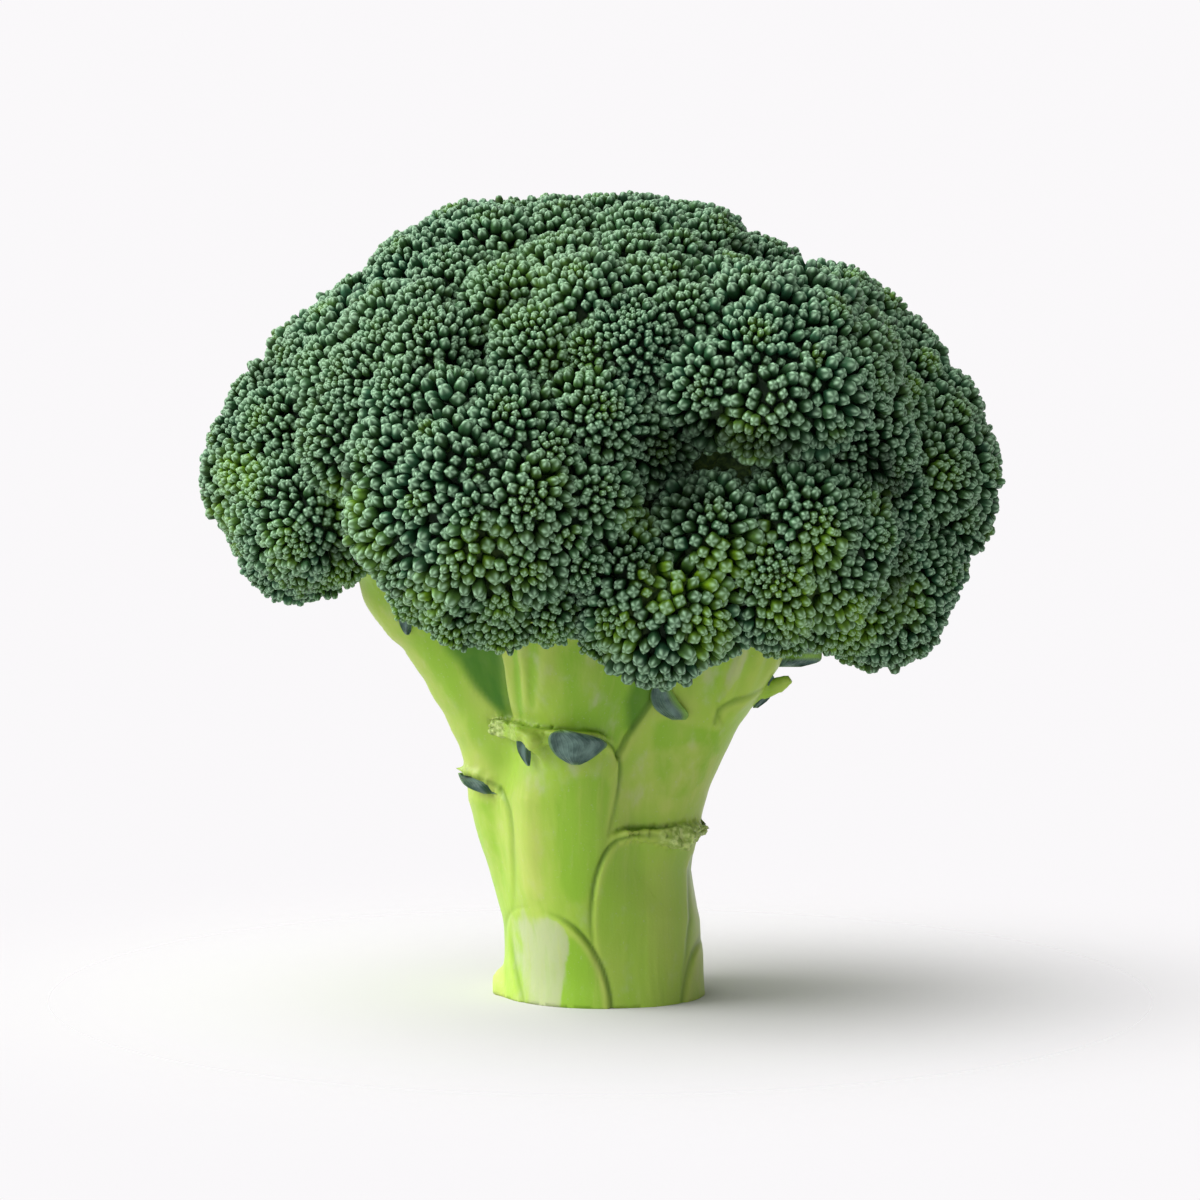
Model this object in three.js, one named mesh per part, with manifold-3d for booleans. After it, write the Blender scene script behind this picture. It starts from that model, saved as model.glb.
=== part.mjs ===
// A broccoli head as it is cut for sale: a pale stalk that forks into branches, a dome of
// florets covered in flower buds, and the trimmed bases of the leaves that grew on the stalk.
// Millimetres, +Z up. The origin is the centre of the cut face that the head stands on, and
// the front of the head looks along -Y. An azimuth is in degrees, 0 at the front and 90 at +X.

import * as THREE from "three";
import { ConvexHull } from "three/addons/math/ConvexHull.js";
import { mergeVertices } from "three/addons/utils/BufferGeometryUtils.js";
import Module from "manifold-3d";

const wasm = await Module();
wasm.setup();

// Driving dimensions of the stalk
const TRUNK_RADIUS = 18;
const CUT_FLARE = 0.9;
const WIDENING = 1.6;
const TRUNK_TOP = 54;
const BRANCH_ROOT = 14;
const BRANCH_BEND = 48;
const ROOT_SHARE = 0.28;
const BEND_SHARE = 0.5;
const BRANCH_RIBS = 5;
const RIB_SHARE = 0.03;
const SIDES = { trunk: 32, branch: 11, branchlet: 6 };

// Driving dimensions of the crown: the half axes of its dome and the height of its widest level,
// then the spacing and height of the rosettes on a floret and of the buds on a rosette
const CROWN = { x: 73.5, y: 68, z: 53, level: 96.5 };
const GAP = 0.35;
const ROSETTE_SPACING = 12.5;
const ROSETTE_HEIGHT = 2.2;
const BUD_SPACING = 5.4;
const BUD_HEIGHT = 2.2;
const RIM_ANGLE = 108;
const NECK_SHARE = 0.6;
const BRANCHLET_SHARE = 0.27;
const GOLDEN_ANGLE = Math.PI * (3 - Math.sqrt(5));

// Main branches: the point where each forks into its florets, and its radius low down and there
const BRANCHES = {
  left: { fork: [-33, -7, 75], low: 9.6, high: 7.4 },
  front: { fork: [-8, -21, 78], low: 12.2, high: 11.5 },
  right: { fork: [25, -13, 74], low: 10.2, high: 10.4 },
  back_left: { fork: [-21, 20, 76], low: 10.5, high: 9 },
  back: { fork: [3, 27, 77], low: 11, high: 9.5 },
  back_right: { fork: [24, 19, 76], low: 10.5, high: 9 },
  top: { fork: [2, 2, 90], low: 14, high: 12 },
};

// Florets: where each stands on the dome, in degrees, the radius of its own round top, how far
// it stands proud of the dome, and the branch that carries it
const FLORETS = [
  { name: "top", azimuth: 85, rise: 80, reach: 34, proud: -0.3, on: "top" },
  { name: "top_left", azimuth: -80, rise: 70, reach: 32, proud: 0.8, on: "top" },
  { name: "front_top", azimuth: 2, rise: 52, reach: 30, proud: 0, on: "top" },
  { name: "right_top", azimuth: 97, rise: 42, reach: 30, proud: -2.5, on: "top" },
  { name: "back_top", azimuth: 178, rise: 50, reach: 34, proud: 0, on: "top" },
  { name: "left_top", azimuth: -79, rise: 37, reach: 26, proud: -3, on: "left" },
  { name: "left", azimuth: -81, rise: 5, reach: 20, proud: 1, on: "left" },
  { name: "left_low", azimuth: -61, rise: -10, reach: 14.5, proud: 0.5, on: "left" },
  { name: "front_left_top", azimuth: -42, rise: 36, reach: 27, proud: -1, on: "front" },
  { name: "front_left", azimuth: -20, rise: 0, reach: 29, proud: 2, on: "front" },
  { name: "front_middle", azimuth: 12, rise: -9, reach: 19, proud: -3, on: "front" },
  { name: "front_low", azimuth: 12, rise: -32, reach: 12, proud: -0.5, on: "front" },
  { name: "front_low_right", azimuth: 27, rise: -28, reach: 14, proud: -0.5, on: "right" },
  { name: "front_right", azimuth: 47, rise: -12, reach: 24, proud: 1.5, on: "right" },
  { name: "front_right_top", azimuth: 43, rise: 35, reach: 27, proud: 2, on: "right" },
  { name: "right", azimuth: 83, rise: 1, reach: 24, proud: 0.5, on: "right" },
  { name: "right_low", azimuth: 70, rise: -31, reach: 14, proud: 1, on: "right" },
  { name: "back_left", azimuth: -131, rise: 10, reach: 28, proud: -0.5, on: "back_left" },
  { name: "back_left_low", azimuth: -105, rise: -17, reach: 14, proud: -0.5, on: "back_left" },
  { name: "back", azimuth: 179, rise: 4, reach: 30, proud: 0, on: "back" },
  { name: "back_low", azimuth: -156, rise: -27, reach: 15, proud: 0, on: "back" },
  { name: "back_right", azimuth: 131, rise: 10, reach: 28, proud: 0.5, on: "back_right" },
  { name: "back_right_low", azimuth: 156, rise: -29, reach: 14, proud: 1, on: "back" },
  { name: "right_back_low", azimuth: 106, rise: -28, reach: 14.5, proud: 1, on: "back_right" },
];

// Trimmed leaf bases: where the middle of each lip is, its half width, and how far it stands out
const LEAF_BASES = [
  { azimuth: -39, top: 19, half: 7, lip: 0.7, shield: 1.0 },
  { azimuth: 41, top: 32, half: 11, lip: 2.6, shield: 1.1 },
  { azimuth: 100, top: 25, half: 9, lip: 0.9, shield: 0.9 },
  { azimuth: -96, top: 7, half: 8, lip: 1.5, shield: 0.8 },
  { azimuth: 168, top: 34, half: 11, lip: 2.4, shield: 1.1 },
  { azimuth: -150, top: 17, half: 9, lip: 1.2, shield: 1.0 },
  { azimuth: -78, top: 41, half: 7.5, lip: 2.2, shield: 0 },
  { azimuth: -27, top: 51.5, half: 10.5, lip: 2.8, shield: 0 },
  { azimuth: 84, top: 56, half: 5, lip: 3.2, shield: 0 },
  { azimuth: -133, top: 50, half: 7, lip: 2.4, shield: 0 },
  { azimuth: 128, top: 47, half: 7, lip: 2.4, shield: 0 },
];
const LIP_THICKNESS = 3;
const LIP_DROOP = 1.6;
const SHIELD_SPREAD = 3;
const SHIELD_SPREAD_LENGTH = 12;
const SHIELD_EDGE = 3.5;

// Scraps of leaf blade that hang from the lips: the azimuth and top of the lip, the place along
// it in mm, half the width, the drop, and how far out of the stalk the scrap hangs
const LEAF_SCRAPS = [
  { name: "front", azimuth: -27, top: 51.5, along: 6, half: 5.6, drop: 6, out: 2.2 },
  { name: "front_left", azimuth: -27, top: 51.5, along: -4.6, half: 1.5, drop: 5.6, out: 2 },
  { name: "left", azimuth: -78, top: 41, along: 2, half: 4.8, drop: 3, out: 1.7 },
  { name: "front_right", azimuth: 39, top: 61.5, along: 0, half: 3.4, drop: 6.6, out: 0.2 },
  { name: "right", azimuth: 84, top: 56, along: -1.5, half: 2.8, drop: 6, out: 2.2 },
  { name: "back_left", azimuth: -133, top: 50, along: 0, half: 4.6, drop: 5, out: 1.8 },
  { name: "back_right", azimuth: 128, top: 47, along: 1, half: 4.4, drop: 4.6, out: 1.8 },
];
const SCRAP_THICKNESS = 1;
const SCRAP_BELOW = 1.3;
const SCRAP_CURL = 1.2;

// A leaf stalk that was cut a little way out, high on the right branch
const LEAF_STUB = { azimuth: 84, height: 61, length: 11, rise: 5, half: 3.6, thickness: 2.8 };

const stalkGreen = new THREE.MeshStandardMaterial({ color: 0xa9c962, roughness: 0.5, metalness: 0 });
const budGreen = new THREE.MeshStandardMaterial({ color: 0x3f6a4c, roughness: 0.65, metalness: 0 });
const bladeGreen = new THREE.MeshStandardMaterial({ color: 0x3f6b63, roughness: 0.55, metalness: 0 });

// Seeded random numbers from 0 to 1, by the mulberry32 rule
function seeded(seed) {
  let state = seed;
  return () => {
    state = (state + 0x6d2b79f5) | 0;
    let mixed = Math.imul(state ^ (state >>> 15), 1 | state);
    mixed = (mixed + Math.imul(mixed ^ (mixed >>> 7), 61 | mixed)) ^ mixed;
    return ((mixed ^ (mixed >>> 14)) >>> 0) / 4294967296;
  };
}

const vector = (xyz) => new THREE.Vector3(...xyz);
const smooth = (share) => THREE.MathUtils.smoothstep(share, 0, 1);
const radians = THREE.MathUtils.degToRad;

// The horizontal unit vector of an azimuth in radians
function heading(azimuth) {
  return new THREE.Vector3(Math.sin(azimuth), -Math.cos(azimuth), 0);
}

// A closed skin over rings of points that all have the same count, with a fan over each end
function loft(rings) {
  const sides = rings[0].length;
  const points = rings.flat();
  const index = [];
  for (let i = 0; i + 1 < rings.length; i++) {
    for (let j = 0; j < sides; j++) {
      const next = (j + 1) % sides;
      const [a, b] = [i * sides + j, i * sides + next];
      const [c, d] = [a + sides, b + sides];
      index.push(a, b, d, a, d, c);
    }
  }
  const ends = [[0, 1], [rings.length - 1, -1]];
  for (const [ring, turn] of ends) {
    const middle = points.length;
    const centre = new THREE.Vector3();
    rings[ring].forEach((point) => centre.addScaledVector(point, 1 / sides));
    points.push(centre);
    for (let j = 0; j < sides; j++) {
      const edge = [ring * sides + j, ring * sides + ((j + 1) % sides)];
      index.push(middle, ...(turn > 0 ? edge.reverse() : edge));
    }
  }
  return new THREE.BufferGeometry().setFromPoints(points).setIndex(index);
}

// The manifold solid of a closed geometry, turned outward if its faces point in
function solid(geometry) {
  const merged = mergeVertices(geometry, 1e-4);
  const vertProperties = merged.attributes.position.array;
  const triVerts = new Uint32Array(merged.index.array);
  const made = new wasm.Manifold(new wasm.Mesh({ numProp: 3, vertProperties, triVerts }));
  if (made.volume() >= 0) return made;
  triVerts.reverse();
  return new wasm.Manifold(new wasm.Mesh({ numProp: 3, vertProperties, triVerts }));
}

// The geometry of the largest body in a manifold solid
function geometryOf(made) {
  const bodies = made.decompose().sort((a, b) => b.volume() - a.volume());
  const mesh = bodies[0].getMesh();
  const geometry = new THREE.BufferGeometry();
  geometry.setAttribute("position", new THREE.BufferAttribute(mesh.vertProperties, 3));
  return geometry.setIndex(new THREE.BufferAttribute(mesh.triVerts, 1));
}

// A round tube along a curve, whose radius is a formula of the share of its length
function taperedTube(curve, radiusAt, sides, steps) {
  const frames = curve.computeFrenetFrames(steps, false);
  const rings = [];
  for (let i = 0; i <= steps; i++) {
    const centre = curve.getPointAt(i / steps);
    const ring = [];
    for (let j = 0; j < sides; j++) {
      const angle = (2 * Math.PI * j) / sides;
      const radius = radiusAt(i / steps, angle);
      const point = centre.clone().addScaledVector(frames.normals[i], radius * Math.cos(angle));
      ring.push(point.addScaledVector(frames.binormals[i], radius * Math.sin(angle)));
    }
    rings.push(ring);
  }
  return solid(loft(rings));
}

// Florets in space. Each has its top on the dome, its centre straight below that, and the axis
// that it grows along, away from its branch's fork.
const florets = FLORETS.map((row, order) => {
  const rise = radians(row.rise);
  const top = heading(radians(row.azimuth)).multiplyScalar(Math.cos(rise));
  top.set(top.x * CROWN.x, top.y * CROWN.y, CROWN.z * Math.sin(rise));
  const out = new THREE.Vector3(top.x / CROWN.x ** 2, top.y / CROWN.y ** 2, top.z / CROWN.z ** 2);
  const centre = top.clone().addScaledVector(out.normalize(), row.proud - row.reach);
  centre.z += CROWN.level;
  const fork = vector(BRANCHES[row.on].fork);
  return { ...row, order, centre, fork, axis: centre.clone().sub(fork).normalize() };
});

// Distance from a floret's centre to the flat side where it meets a neighbour, along a direction.
// The side lies in the plane of the circle in which the two domes would cross.
function roomToward(floret, direction) {
  let room = Infinity;
  for (const other of florets) {
    if (other === floret) continue;
    const between = other.centre.clone().sub(floret.centre);
    const apart = between.length();
    const along = direction.dot(between) / apart;
    if (along <= 0) continue;
    const side = (apart + (floret.reach ** 2 - other.reach ** 2) / apart) / 2;
    room = Math.min(room, (side - GAP / 2) / along);
  }
  return room;
}

// Directions that cover a cap round an axis evenly, turning by the golden angle
function spiralDirections(axis, capAngle, count, turn) {
  const toAxis = new THREE.Quaternion().setFromUnitVectors(new THREE.Vector3(0, 0, 1), axis);
  return Array.from({ length: count }, (_, k) => {
    const height = 1 - (1 - Math.cos(capAngle)) * ((k + 0.5) / count);
    const width = Math.sqrt(1 - height * height);
    const angle = turn + k * GOLDEN_ANGLE;
    const flat = new THREE.Vector3(width * Math.cos(angle), width * Math.sin(angle), height);
    return flat.applyQuaternion(toAxis);
  });
}

// How many evenly spaced points a cap of a sphere holds
function capCount(reach, capAngle, spacing) {
  const area = 2 * Math.PI * reach ** 2 * (1 - Math.cos(capAngle));
  return Math.round(area / (spacing ** 2 * Math.sqrt(0.75)));
}

// Half section of a floret: a round dome down to the rim, a cone below it and a flat neck.
// Gives the distance from the centre at an angle from the axis.
function sectionReach(floret, angle) {
  const { reach, neckDepth, neckRadius, rim } = floret;
  if (angle <= rim) return reach;
  if (Math.tan(Math.PI - angle) * neckDepth < neckRadius && angle > Math.PI / 2) {
    return neckDepth / -Math.cos(angle);
  }
  const [x, y] = [reach * Math.sin(rim), reach * Math.cos(rim)];
  const [dx, dy] = [neckRadius - x, -neckDepth - y];
  return (x * dy - y * dx) / (Math.sin(angle) * dy - Math.cos(angle) * dx);
}

// The rosettes of a floret stand out as low domes, and this is their height at a direction
function rosetteHeight(floret, direction) {
  const nearest = Math.max(...floret.rosettes.map((rosette) => rosette.dot(direction)));
  const away = (Math.acos(Math.min(1, nearest)) * floret.reach) / (ROSETTE_SPACING / 2);
  return ROSETTE_HEIGHT * (0.5 - Math.min(1.4, away) ** 2);
}

// The dimensions of a floret that follow from its reach and its neighbours
function settle(floret) {
  floret.rim = radians(RIM_ANGLE);
  const down = floret.axis.clone().negate();
  floret.neckDepth = Math.min(NECK_SHARE * floret.reach, roomToward(floret, down) - 1);
  floret.neckRadius = BRANCHLET_SHARE * floret.reach;
  const count = capCount(floret.reach, floret.rim, ROSETTE_SPACING);
  floret.rosettes = spiralDirections(floret.axis, floret.rim, count, floret.order);
}

// Points of a floret as directions: buds where the dome is open, and a few plain points where
// a neighbour presses on it and along its underside
function floretDirections(floret) {
  const { axis, rim, reach } = floret;
  const buds = spiralDirections(axis, rim, capCount(reach, rim, BUD_SPACING), floret.order);
  const open = buds.filter((bud) => roomToward(floret, bud) > 0.84 * reach);
  const sparse = spiralDirections(axis, rim, capCount(reach, rim, 2.2 * BUD_SPACING), 0);
  const pressed = sparse.filter((way) => roomToward(floret, way) < 0.78 * reach);
  const toAxis = new THREE.Quaternion().setFromUnitVectors(new THREE.Vector3(0, 0, 1), axis);
  const neckAngle = Math.PI - Math.atan2(floret.neckRadius, floret.neckDepth);
  const under = [{ angle: Math.PI, count: 1 }, { angle: neckAngle, count: 8 }];
  under.push({ angle: (neckAngle + rim) / 2, count: 10 });
  const below = under.flatMap(({ angle, count }) =>
    Array.from({ length: count }, (_, k) => {
      const turn = (2 * Math.PI * (k + 0.1)) / count;
      const flat = new THREE.Vector3(Math.cos(turn), Math.sin(turn), 0);
      flat.multiplyScalar(Math.sin(angle)).setZ(Math.cos(angle));
      return flat.applyQuaternion(toAxis);
    }),
  );
  return { open, plain: [...pressed, ...below] };
}

// The surface point of a floret in a direction, raised by a height and kept inside its own room
function floretPoint(floret, direction, height) {
  const angle = direction.angleTo(floret.axis);
  const surface = sectionReach(floret, angle) + height;
  return direction.clone().multiplyScalar(Math.min(surface, roomToward(floret, direction)));
}

// One floret: buds stand up from its dome as small peaks, with a dip between every three
function floretGeometry(floret) {
  const random = seeded(floret.order + 1);
  const { open, plain } = floretDirections(floret);
  const directions = [...open, ...plain];
  const surface = directions.map((direction, k) => {
    if (k >= open.length) return floretPoint(floret, direction, 0);
    const peak = BUD_HEIGHT * (0.35 + 0.3 * random());
    return floretPoint(floret, direction, rosetteHeight(floret, direction) + peak);
  });
  const order = new Map(directions.map((direction, k) => [direction, k]));
  const index = [];
  for (const face of new ConvexHull().setFromPoints(directions).faces) {
    const corners = [face.edge, face.edge.next, face.edge.prev].map((e) => e.head().point);
    const [a, b, c] = corners.map((corner) => order.get(corner));
    if (Math.max(a, b, c) >= open.length) {
      index.push(a, b, c);
      continue;
    }
    const middle = corners[0].clone().add(corners[1]).add(corners[2]).normalize();
    const dip = rosetteHeight(floret, middle) - BUD_HEIGHT / 2;
    const d = surface.push(floretPoint(floret, middle, dip)) - 1;
    index.push(a, b, d, b, c, d, c, a, d);
  }
  return new THREE.BufferGeometry().setFromPoints(surface).setIndex(index);
}

// How far a leaf base stands out of the trunk at an azimuth and a height: a long shield that
// widens downward from its lip
function shieldLift(azimuth, height) {
  let lift = 0;
  for (const base of LEAF_BASES) {
    const below = base.top - height;
    const turn = Math.atan2(
      Math.sin(azimuth - radians(base.azimuth)),
      Math.cos(azimuth - radians(base.azimuth)),
    );
    const spread = SHIELD_SPREAD * (1 - Math.exp(-Math.max(0, below) / SHIELD_SPREAD_LENGTH));
    const inside = Math.min(base.half + spread - Math.abs(turn) * TRUNK_RADIUS, below);
    lift = Math.max(lift, base.shield * smooth(inside / SHIELD_EDGE));
  }
  return lift;
}

// The trunk, from the cut face up into the fork of the branches
function trunk() {
  const heights = [0, 2, 6, 10, 15, 18, 22, 26, 30, 34, 41, TRUNK_TOP];
  const rings = heights.map((height) => {
    const flare = CUT_FLARE * Math.exp(-height / 6);
    const shoulder = WIDENING * smooth((height - 30) / 24);
    return Array.from({ length: SIDES.trunk }, (_, k) => {
      const azimuth = (2 * Math.PI * k) / SIDES.trunk;
      const radius = TRUNK_RADIUS + flare + shoulder + shieldLift(azimuth, height);
      return heading(azimuth).multiplyScalar(radius).setZ(height);
    });
  });
  return solid(loft(rings));
}

// The line of a main branch: low in the trunk, up along it, then outward to the fork
function branchCurve({ fork }) {
  const root = vector([fork[0] * ROOT_SHARE, fork[1] * ROOT_SHARE, BRANCH_ROOT]);
  const bend = vector([fork[0] * BEND_SHARE, fork[1] * BEND_SHARE, BRANCH_BEND]);
  return new THREE.QuadraticBezierCurve3(root, bend, vector(fork));
}

// Main branches and the branchlets that carry the florets, all made wider by the same amount
function branches(extra) {
  const made = [];
  for (const branch of Object.values(BRANCHES)) {
    const radiusAt = (share, angle) => {
      const ribs = 1 + RIB_SHARE * Math.cos(BRANCH_RIBS * angle);
      return THREE.MathUtils.lerp(branch.low, branch.high, share) * ribs + extra;
    };
    made.push(taperedTube(branchCurve(branch), radiusAt, SIDES.branch, 4));
  }
  for (const floret of florets) {
    const toNeck = floret.centre.distanceTo(floret.fork) - floret.neckDepth - GAP;
    const start = floret.fork.clone().addScaledVector(floret.axis, -3);
    const end = floret.fork.clone().addScaledVector(floret.axis, toNeck);
    const radiusAt = (share) => floret.neckRadius * (1.1 - 0.15 * share) + extra;
    made.push(taperedTube(new THREE.LineCurve3(start, end), radiusAt, SIDES.branchlet, 1));
  }
  return wasm.Manifold.union(made);
}

// Gives the point where a level ray from outside meets the stalk, at an azimuth and a height
function surfaceFinder(geometry) {
  const caster = new THREE.Raycaster();
  const target = new THREE.Mesh(geometry, new THREE.MeshBasicMaterial({ side: THREE.DoubleSide }));
  return (azimuth, height) => {
    const out = heading(azimuth);
    caster.set(out.clone().multiplyScalar(100).setZ(height), out.clone().negate());
    return caster.intersectObject(target)[0].point;
  };
}

// Points along a level arc on the stalk, with the way out of the surface at each
function arcOnStalk(find, azimuth, height, along, half, steps) {
  const middle = find(azimuth, height);
  const radius = Math.hypot(middle.x, middle.y);
  return Array.from({ length: steps + 1 }, (_, k) => {
    const share = (2 * k) / steps - 1;
    const here = azimuth + (along + half * share) / radius;
    return { share, out: heading(here), at: find(here, height) };
  });
}

// The lip left where a leaf stalk was cut: a ledge along an arc, thin toward both ends
function lip(find, base) {
  const arc = arcOnStalk(find, radians(base.azimuth), base.top, 0, base.half, 6);
  const rings = arc.map(({ share, out, at }) => {
    const size = 0.25 + 0.75 * Math.sqrt(1 - share ** 2);
    const section = [[-3, 0.3], [base.lip * size, 0.3], [base.lip * size, -0.9], [-2, -LIP_THICKNESS]];
    return section.map(([outward, up]) => {
      const point = at.clone().addScaledVector(out, outward);
      return point.setZ(base.top - LIP_DROOP * share ** 2 + up);
    });
  });
  return solid(loft(rings));
}

// A scrap of leaf blade: a half moon that hangs below a lip, curled a little away from the stalk
function scrap(find, row) {
  const arc = arcOnStalk(find, radians(row.azimuth), row.top - 2, row.along, row.half, 5);
  const rings = arc.map(({ share, out, at }) => {
    const drop = 0.8 + row.drop * Math.sqrt(1 - share ** 2);
    const section = [[0, 0], [SCRAP_CURL / 3, 0.5], [SCRAP_CURL, 1]];
    section.push([SCRAP_CURL + SCRAP_THICKNESS, 1], [SCRAP_CURL / 3 + SCRAP_THICKNESS, 0.5]);
    section.push([SCRAP_THICKNESS, 0]);
    return section.map(([outward, down]) => {
      const point = at.clone().addScaledVector(out, row.out + outward);
      return point.setZ(row.top - SCRAP_BELOW - LIP_DROOP * share ** 2 - down * drop);
    });
  });
  return solid(loft(rings));
}

// The cut leaf stalk with its wings: a flat tongue that points outward and up
function leafStub(find) {
  const { azimuth, height, length, rise, half, thickness } = LEAF_STUB;
  const out = heading(radians(azimuth));
  const across = heading(radians(azimuth + 90));
  const root = find(radians(azimuth), height);
  const rings = [0, 0.35, 0.7, 1].map((share) => {
    const centre = root.clone().addScaledVector(out, length * share - 0.5);
    centre.z += rise * share;
    const wide = half * (0.6 + 0.4 * smooth(share * 1.6));
    const section = [[-1, 0], [0, 0.5], [1, 0], [0, -0.5]];
    return section.map(([side, up]) =>
      centre.clone().addScaledVector(across, side * wide).add(new THREE.Vector3(0, 0, up * thickness)),
    );
  });
  return solid(loft(rings));
}

// A named sub-part, placed where its own frame is
function addMesh(group, name, geometry, material, position = new THREE.Vector3()) {
  const mesh = new THREE.Mesh(geometry, material);
  mesh.name = name;
  mesh.position.copy(position);
  group.add(mesh);
}

florets.forEach(settle);
const head = new THREE.Group();

const wood = trunk().add(branches(0));
const findOnWood = surfaceFinder(geometryOf(wood));
const lips = LEAF_BASES.map((base) => lip(findOnWood, base));
const stalk = wood.add(wasm.Manifold.union(lips));
addMesh(head, "stalk", geometryOf(stalk), stalkGreen);

const keepOut = branches(GAP);
for (const floret of florets) {
  const whole = solid(floretGeometry(floret));
  const fitted = whole.subtract(keepOut.translate(floret.centre.clone().negate().toArray()));
  addMesh(head, `floret_${floret.name}`, geometryOf(fitted), budGreen, floret.centre);
}

const trimmed = keepOut.add(stalk);
for (const row of LEAF_SCRAPS) {
  const blade = scrap(findOnWood, row).subtract(trimmed);
  addMesh(head, `leaf_scrap_${row.name}`, geometryOf(blade), bladeGreen);
}
addMesh(head, "leaf_stub_right", geometryOf(leafStub(findOnWood).subtract(trimmed)), bladeGreen);

export default head;
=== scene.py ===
"""The finished look of the broccoli head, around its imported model.

The stalk, every floret and every scrap of leaf is replaced by a finer piece on the same formulas.
Sizes are in millimetres until a mesh is made, and an azimuth is in degrees, 0 at the front (-Y)
and 90 at +X.
"""

import math

import bmesh
import bpy
import numpy as np
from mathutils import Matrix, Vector, noise
from mathutils.kdtree import KDTree


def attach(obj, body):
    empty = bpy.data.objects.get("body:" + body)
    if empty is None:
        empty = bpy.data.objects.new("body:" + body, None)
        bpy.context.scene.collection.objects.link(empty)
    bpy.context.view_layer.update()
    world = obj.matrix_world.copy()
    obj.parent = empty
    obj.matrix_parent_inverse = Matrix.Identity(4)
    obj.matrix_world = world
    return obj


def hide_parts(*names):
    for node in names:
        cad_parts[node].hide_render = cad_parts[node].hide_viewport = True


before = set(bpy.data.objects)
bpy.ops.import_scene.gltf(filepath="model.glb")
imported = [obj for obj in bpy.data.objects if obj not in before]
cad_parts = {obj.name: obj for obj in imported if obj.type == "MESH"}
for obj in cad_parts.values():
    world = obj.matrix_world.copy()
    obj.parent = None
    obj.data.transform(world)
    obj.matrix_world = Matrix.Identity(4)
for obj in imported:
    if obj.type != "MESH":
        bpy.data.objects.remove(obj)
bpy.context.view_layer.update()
MM = 0.001
SEED = 11

# The photograph's view: a long lens a metre away, a little above the head
CAMERA_DISTANCE = 1000.0
CAMERA_ELEVATION = 5.5
CAMERA_TARGET = (0.0, 0.0, 74.0)
FRAME_WIDTH = 224.0
SENSOR_WIDTH = 36.0

# The photograph is square; places seen in it are given in its pixels
PHOTO_SIZE = 1200.0
PHOTO_MIDDLE = 600.0
PIXEL = FRAME_WIDTH / PHOTO_SIZE

# Steps along a line of sight in mm, from before the head to behind it: to find the crown and the stalk
CROWN_SEARCH = (-90, 0, 0.5)
STALK_SEARCH = (-60, 45, 0.2)

# How far a surface may turn away and still count as facing, and over what that grows
FACING_FROM = 0.1
FACING_OVER = 0.3

# The head's driving dimensions. They are its source's, but the branches and some of the florets
# are fitted closer to the photograph.
TRUNK_RADIUS = 18.0
CUT_FLARE = 0.9
WIDENING = 1.6
TRUNK_TOP = 54.0
BRANCH_ROOT = 14.0
BRANCH_BEND = 48.0
CROWN = {"x": 73.5, "y": 68.0, "z": 53.0, "level": 96.5}
RIM_ANGLE = 108.0
NECK_SHARE = 0.6
BRANCHLET_SHARE = 0.27
GOLDEN_ANGLE = math.pi * (3 - math.sqrt(5))

# Main branches: where each forks, its radius low down and at the fork, and how far out it is at
# its root and at its bend, as shares of where it forks
BRANCHES = {
    "left": ((-36, -7, 78), 8.4, 6.8, 0.21, 0.43),
    "front": ((-8, -21, 78), 12.0, 11.3, 0.28, 0.5),
    "right": ((26, -13, 74), 8.8, 11.0, 0.2, 0.38),
    "back_left": ((-21, 20, 76), 10.0, 9.0, 0.28, 0.5),
    "back": ((3, 27, 77), 11.0, 9.5, 0.28, 0.5),
    "back_right": ((24, 19, 76), 10.0, 9.0, 0.24, 0.42),
    "top": ((2, 2, 90), 14.0, 12.0, 0.28, 0.5),
}

# Florets: name, azimuth and rise on the dome, reach, how far it stands proud, and its branch
FLORETS = [
    ("top", 85, 80, 34.0, -0.3, "top"),
    ("top_left", -80, 70, 32.0, 0.8, "top"),
    ("front_top", 2, 52, 30.0, 0.0, "top"),
    ("right_top", 97, 42, 30.0, -1.2, "top"),
    ("back_top", 178, 50, 34.0, 0.0, "top"),
    ("left_top", -79, 37, 26.0, -3.0, "left"),
    ("left", -81, 7, 20.0, -0.2, "left"),
    ("left_low", -63, -9, 13.0, -2.6, "left"),
    ("front_left_top", -42, 36, 27.0, -1.0, "front"),
    ("front_left", -20, 0, 29.0, 2.0, "front"),
    ("front_middle", 10, -12, 16.0, -6.5, "front"),
    ("front_low", 11, -31, 12.5, -0.5, "front"),
    ("front_low_right", 31, -21, 11.5, -1.5, "right"),
    ("front_right", 44, -15, 24.0, -0.8, "right"),
    ("front_right_top", 37, 32, 26.0, 5.5, "right"),
    ("right", 83, 1, 24.0, 0.5, "right"),
    ("right_low", 70, -31, 14.0, 1.0, "right"),
    ("back_left", -131, 10, 28.0, -0.5, "back_left"),
    ("back_left_low", -105, -17, 14.0, -0.5, "back_left"),
    ("back", 179, 4, 30.0, 0.0, "back"),
    ("back_low", -156, -27, 15.0, 0.0, "back"),
    ("back_right", 131, 10, 28.0, 0.5, "back_right"),
    ("back_right_low", 156, -29, 14.0, 1.0, "back"),
    ("right_back_low", 106, -28, 14.5, 1.0, "back_right"),
]

# The crown: how soft the creases between florets are, how far its surface is moved, and the depth of
# hollows at which the painted shade on their buds is full
CROWN_BLEND = 3.2
CROWN_SINK = -0.2
DEEP_AT = 3.2

# Places tried for rosettes: the area of the crown for each, how they settle on it, and the least
# distance from them to a branch, which is taken in steps
SEED_AREA = 3.0
SETTLING_ROUNDS = 12
SETTLING_SHARE = 0.55
ROSETTE_CLEARANCE = 3.5
CLEARANCE_STEPS = 12

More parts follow.
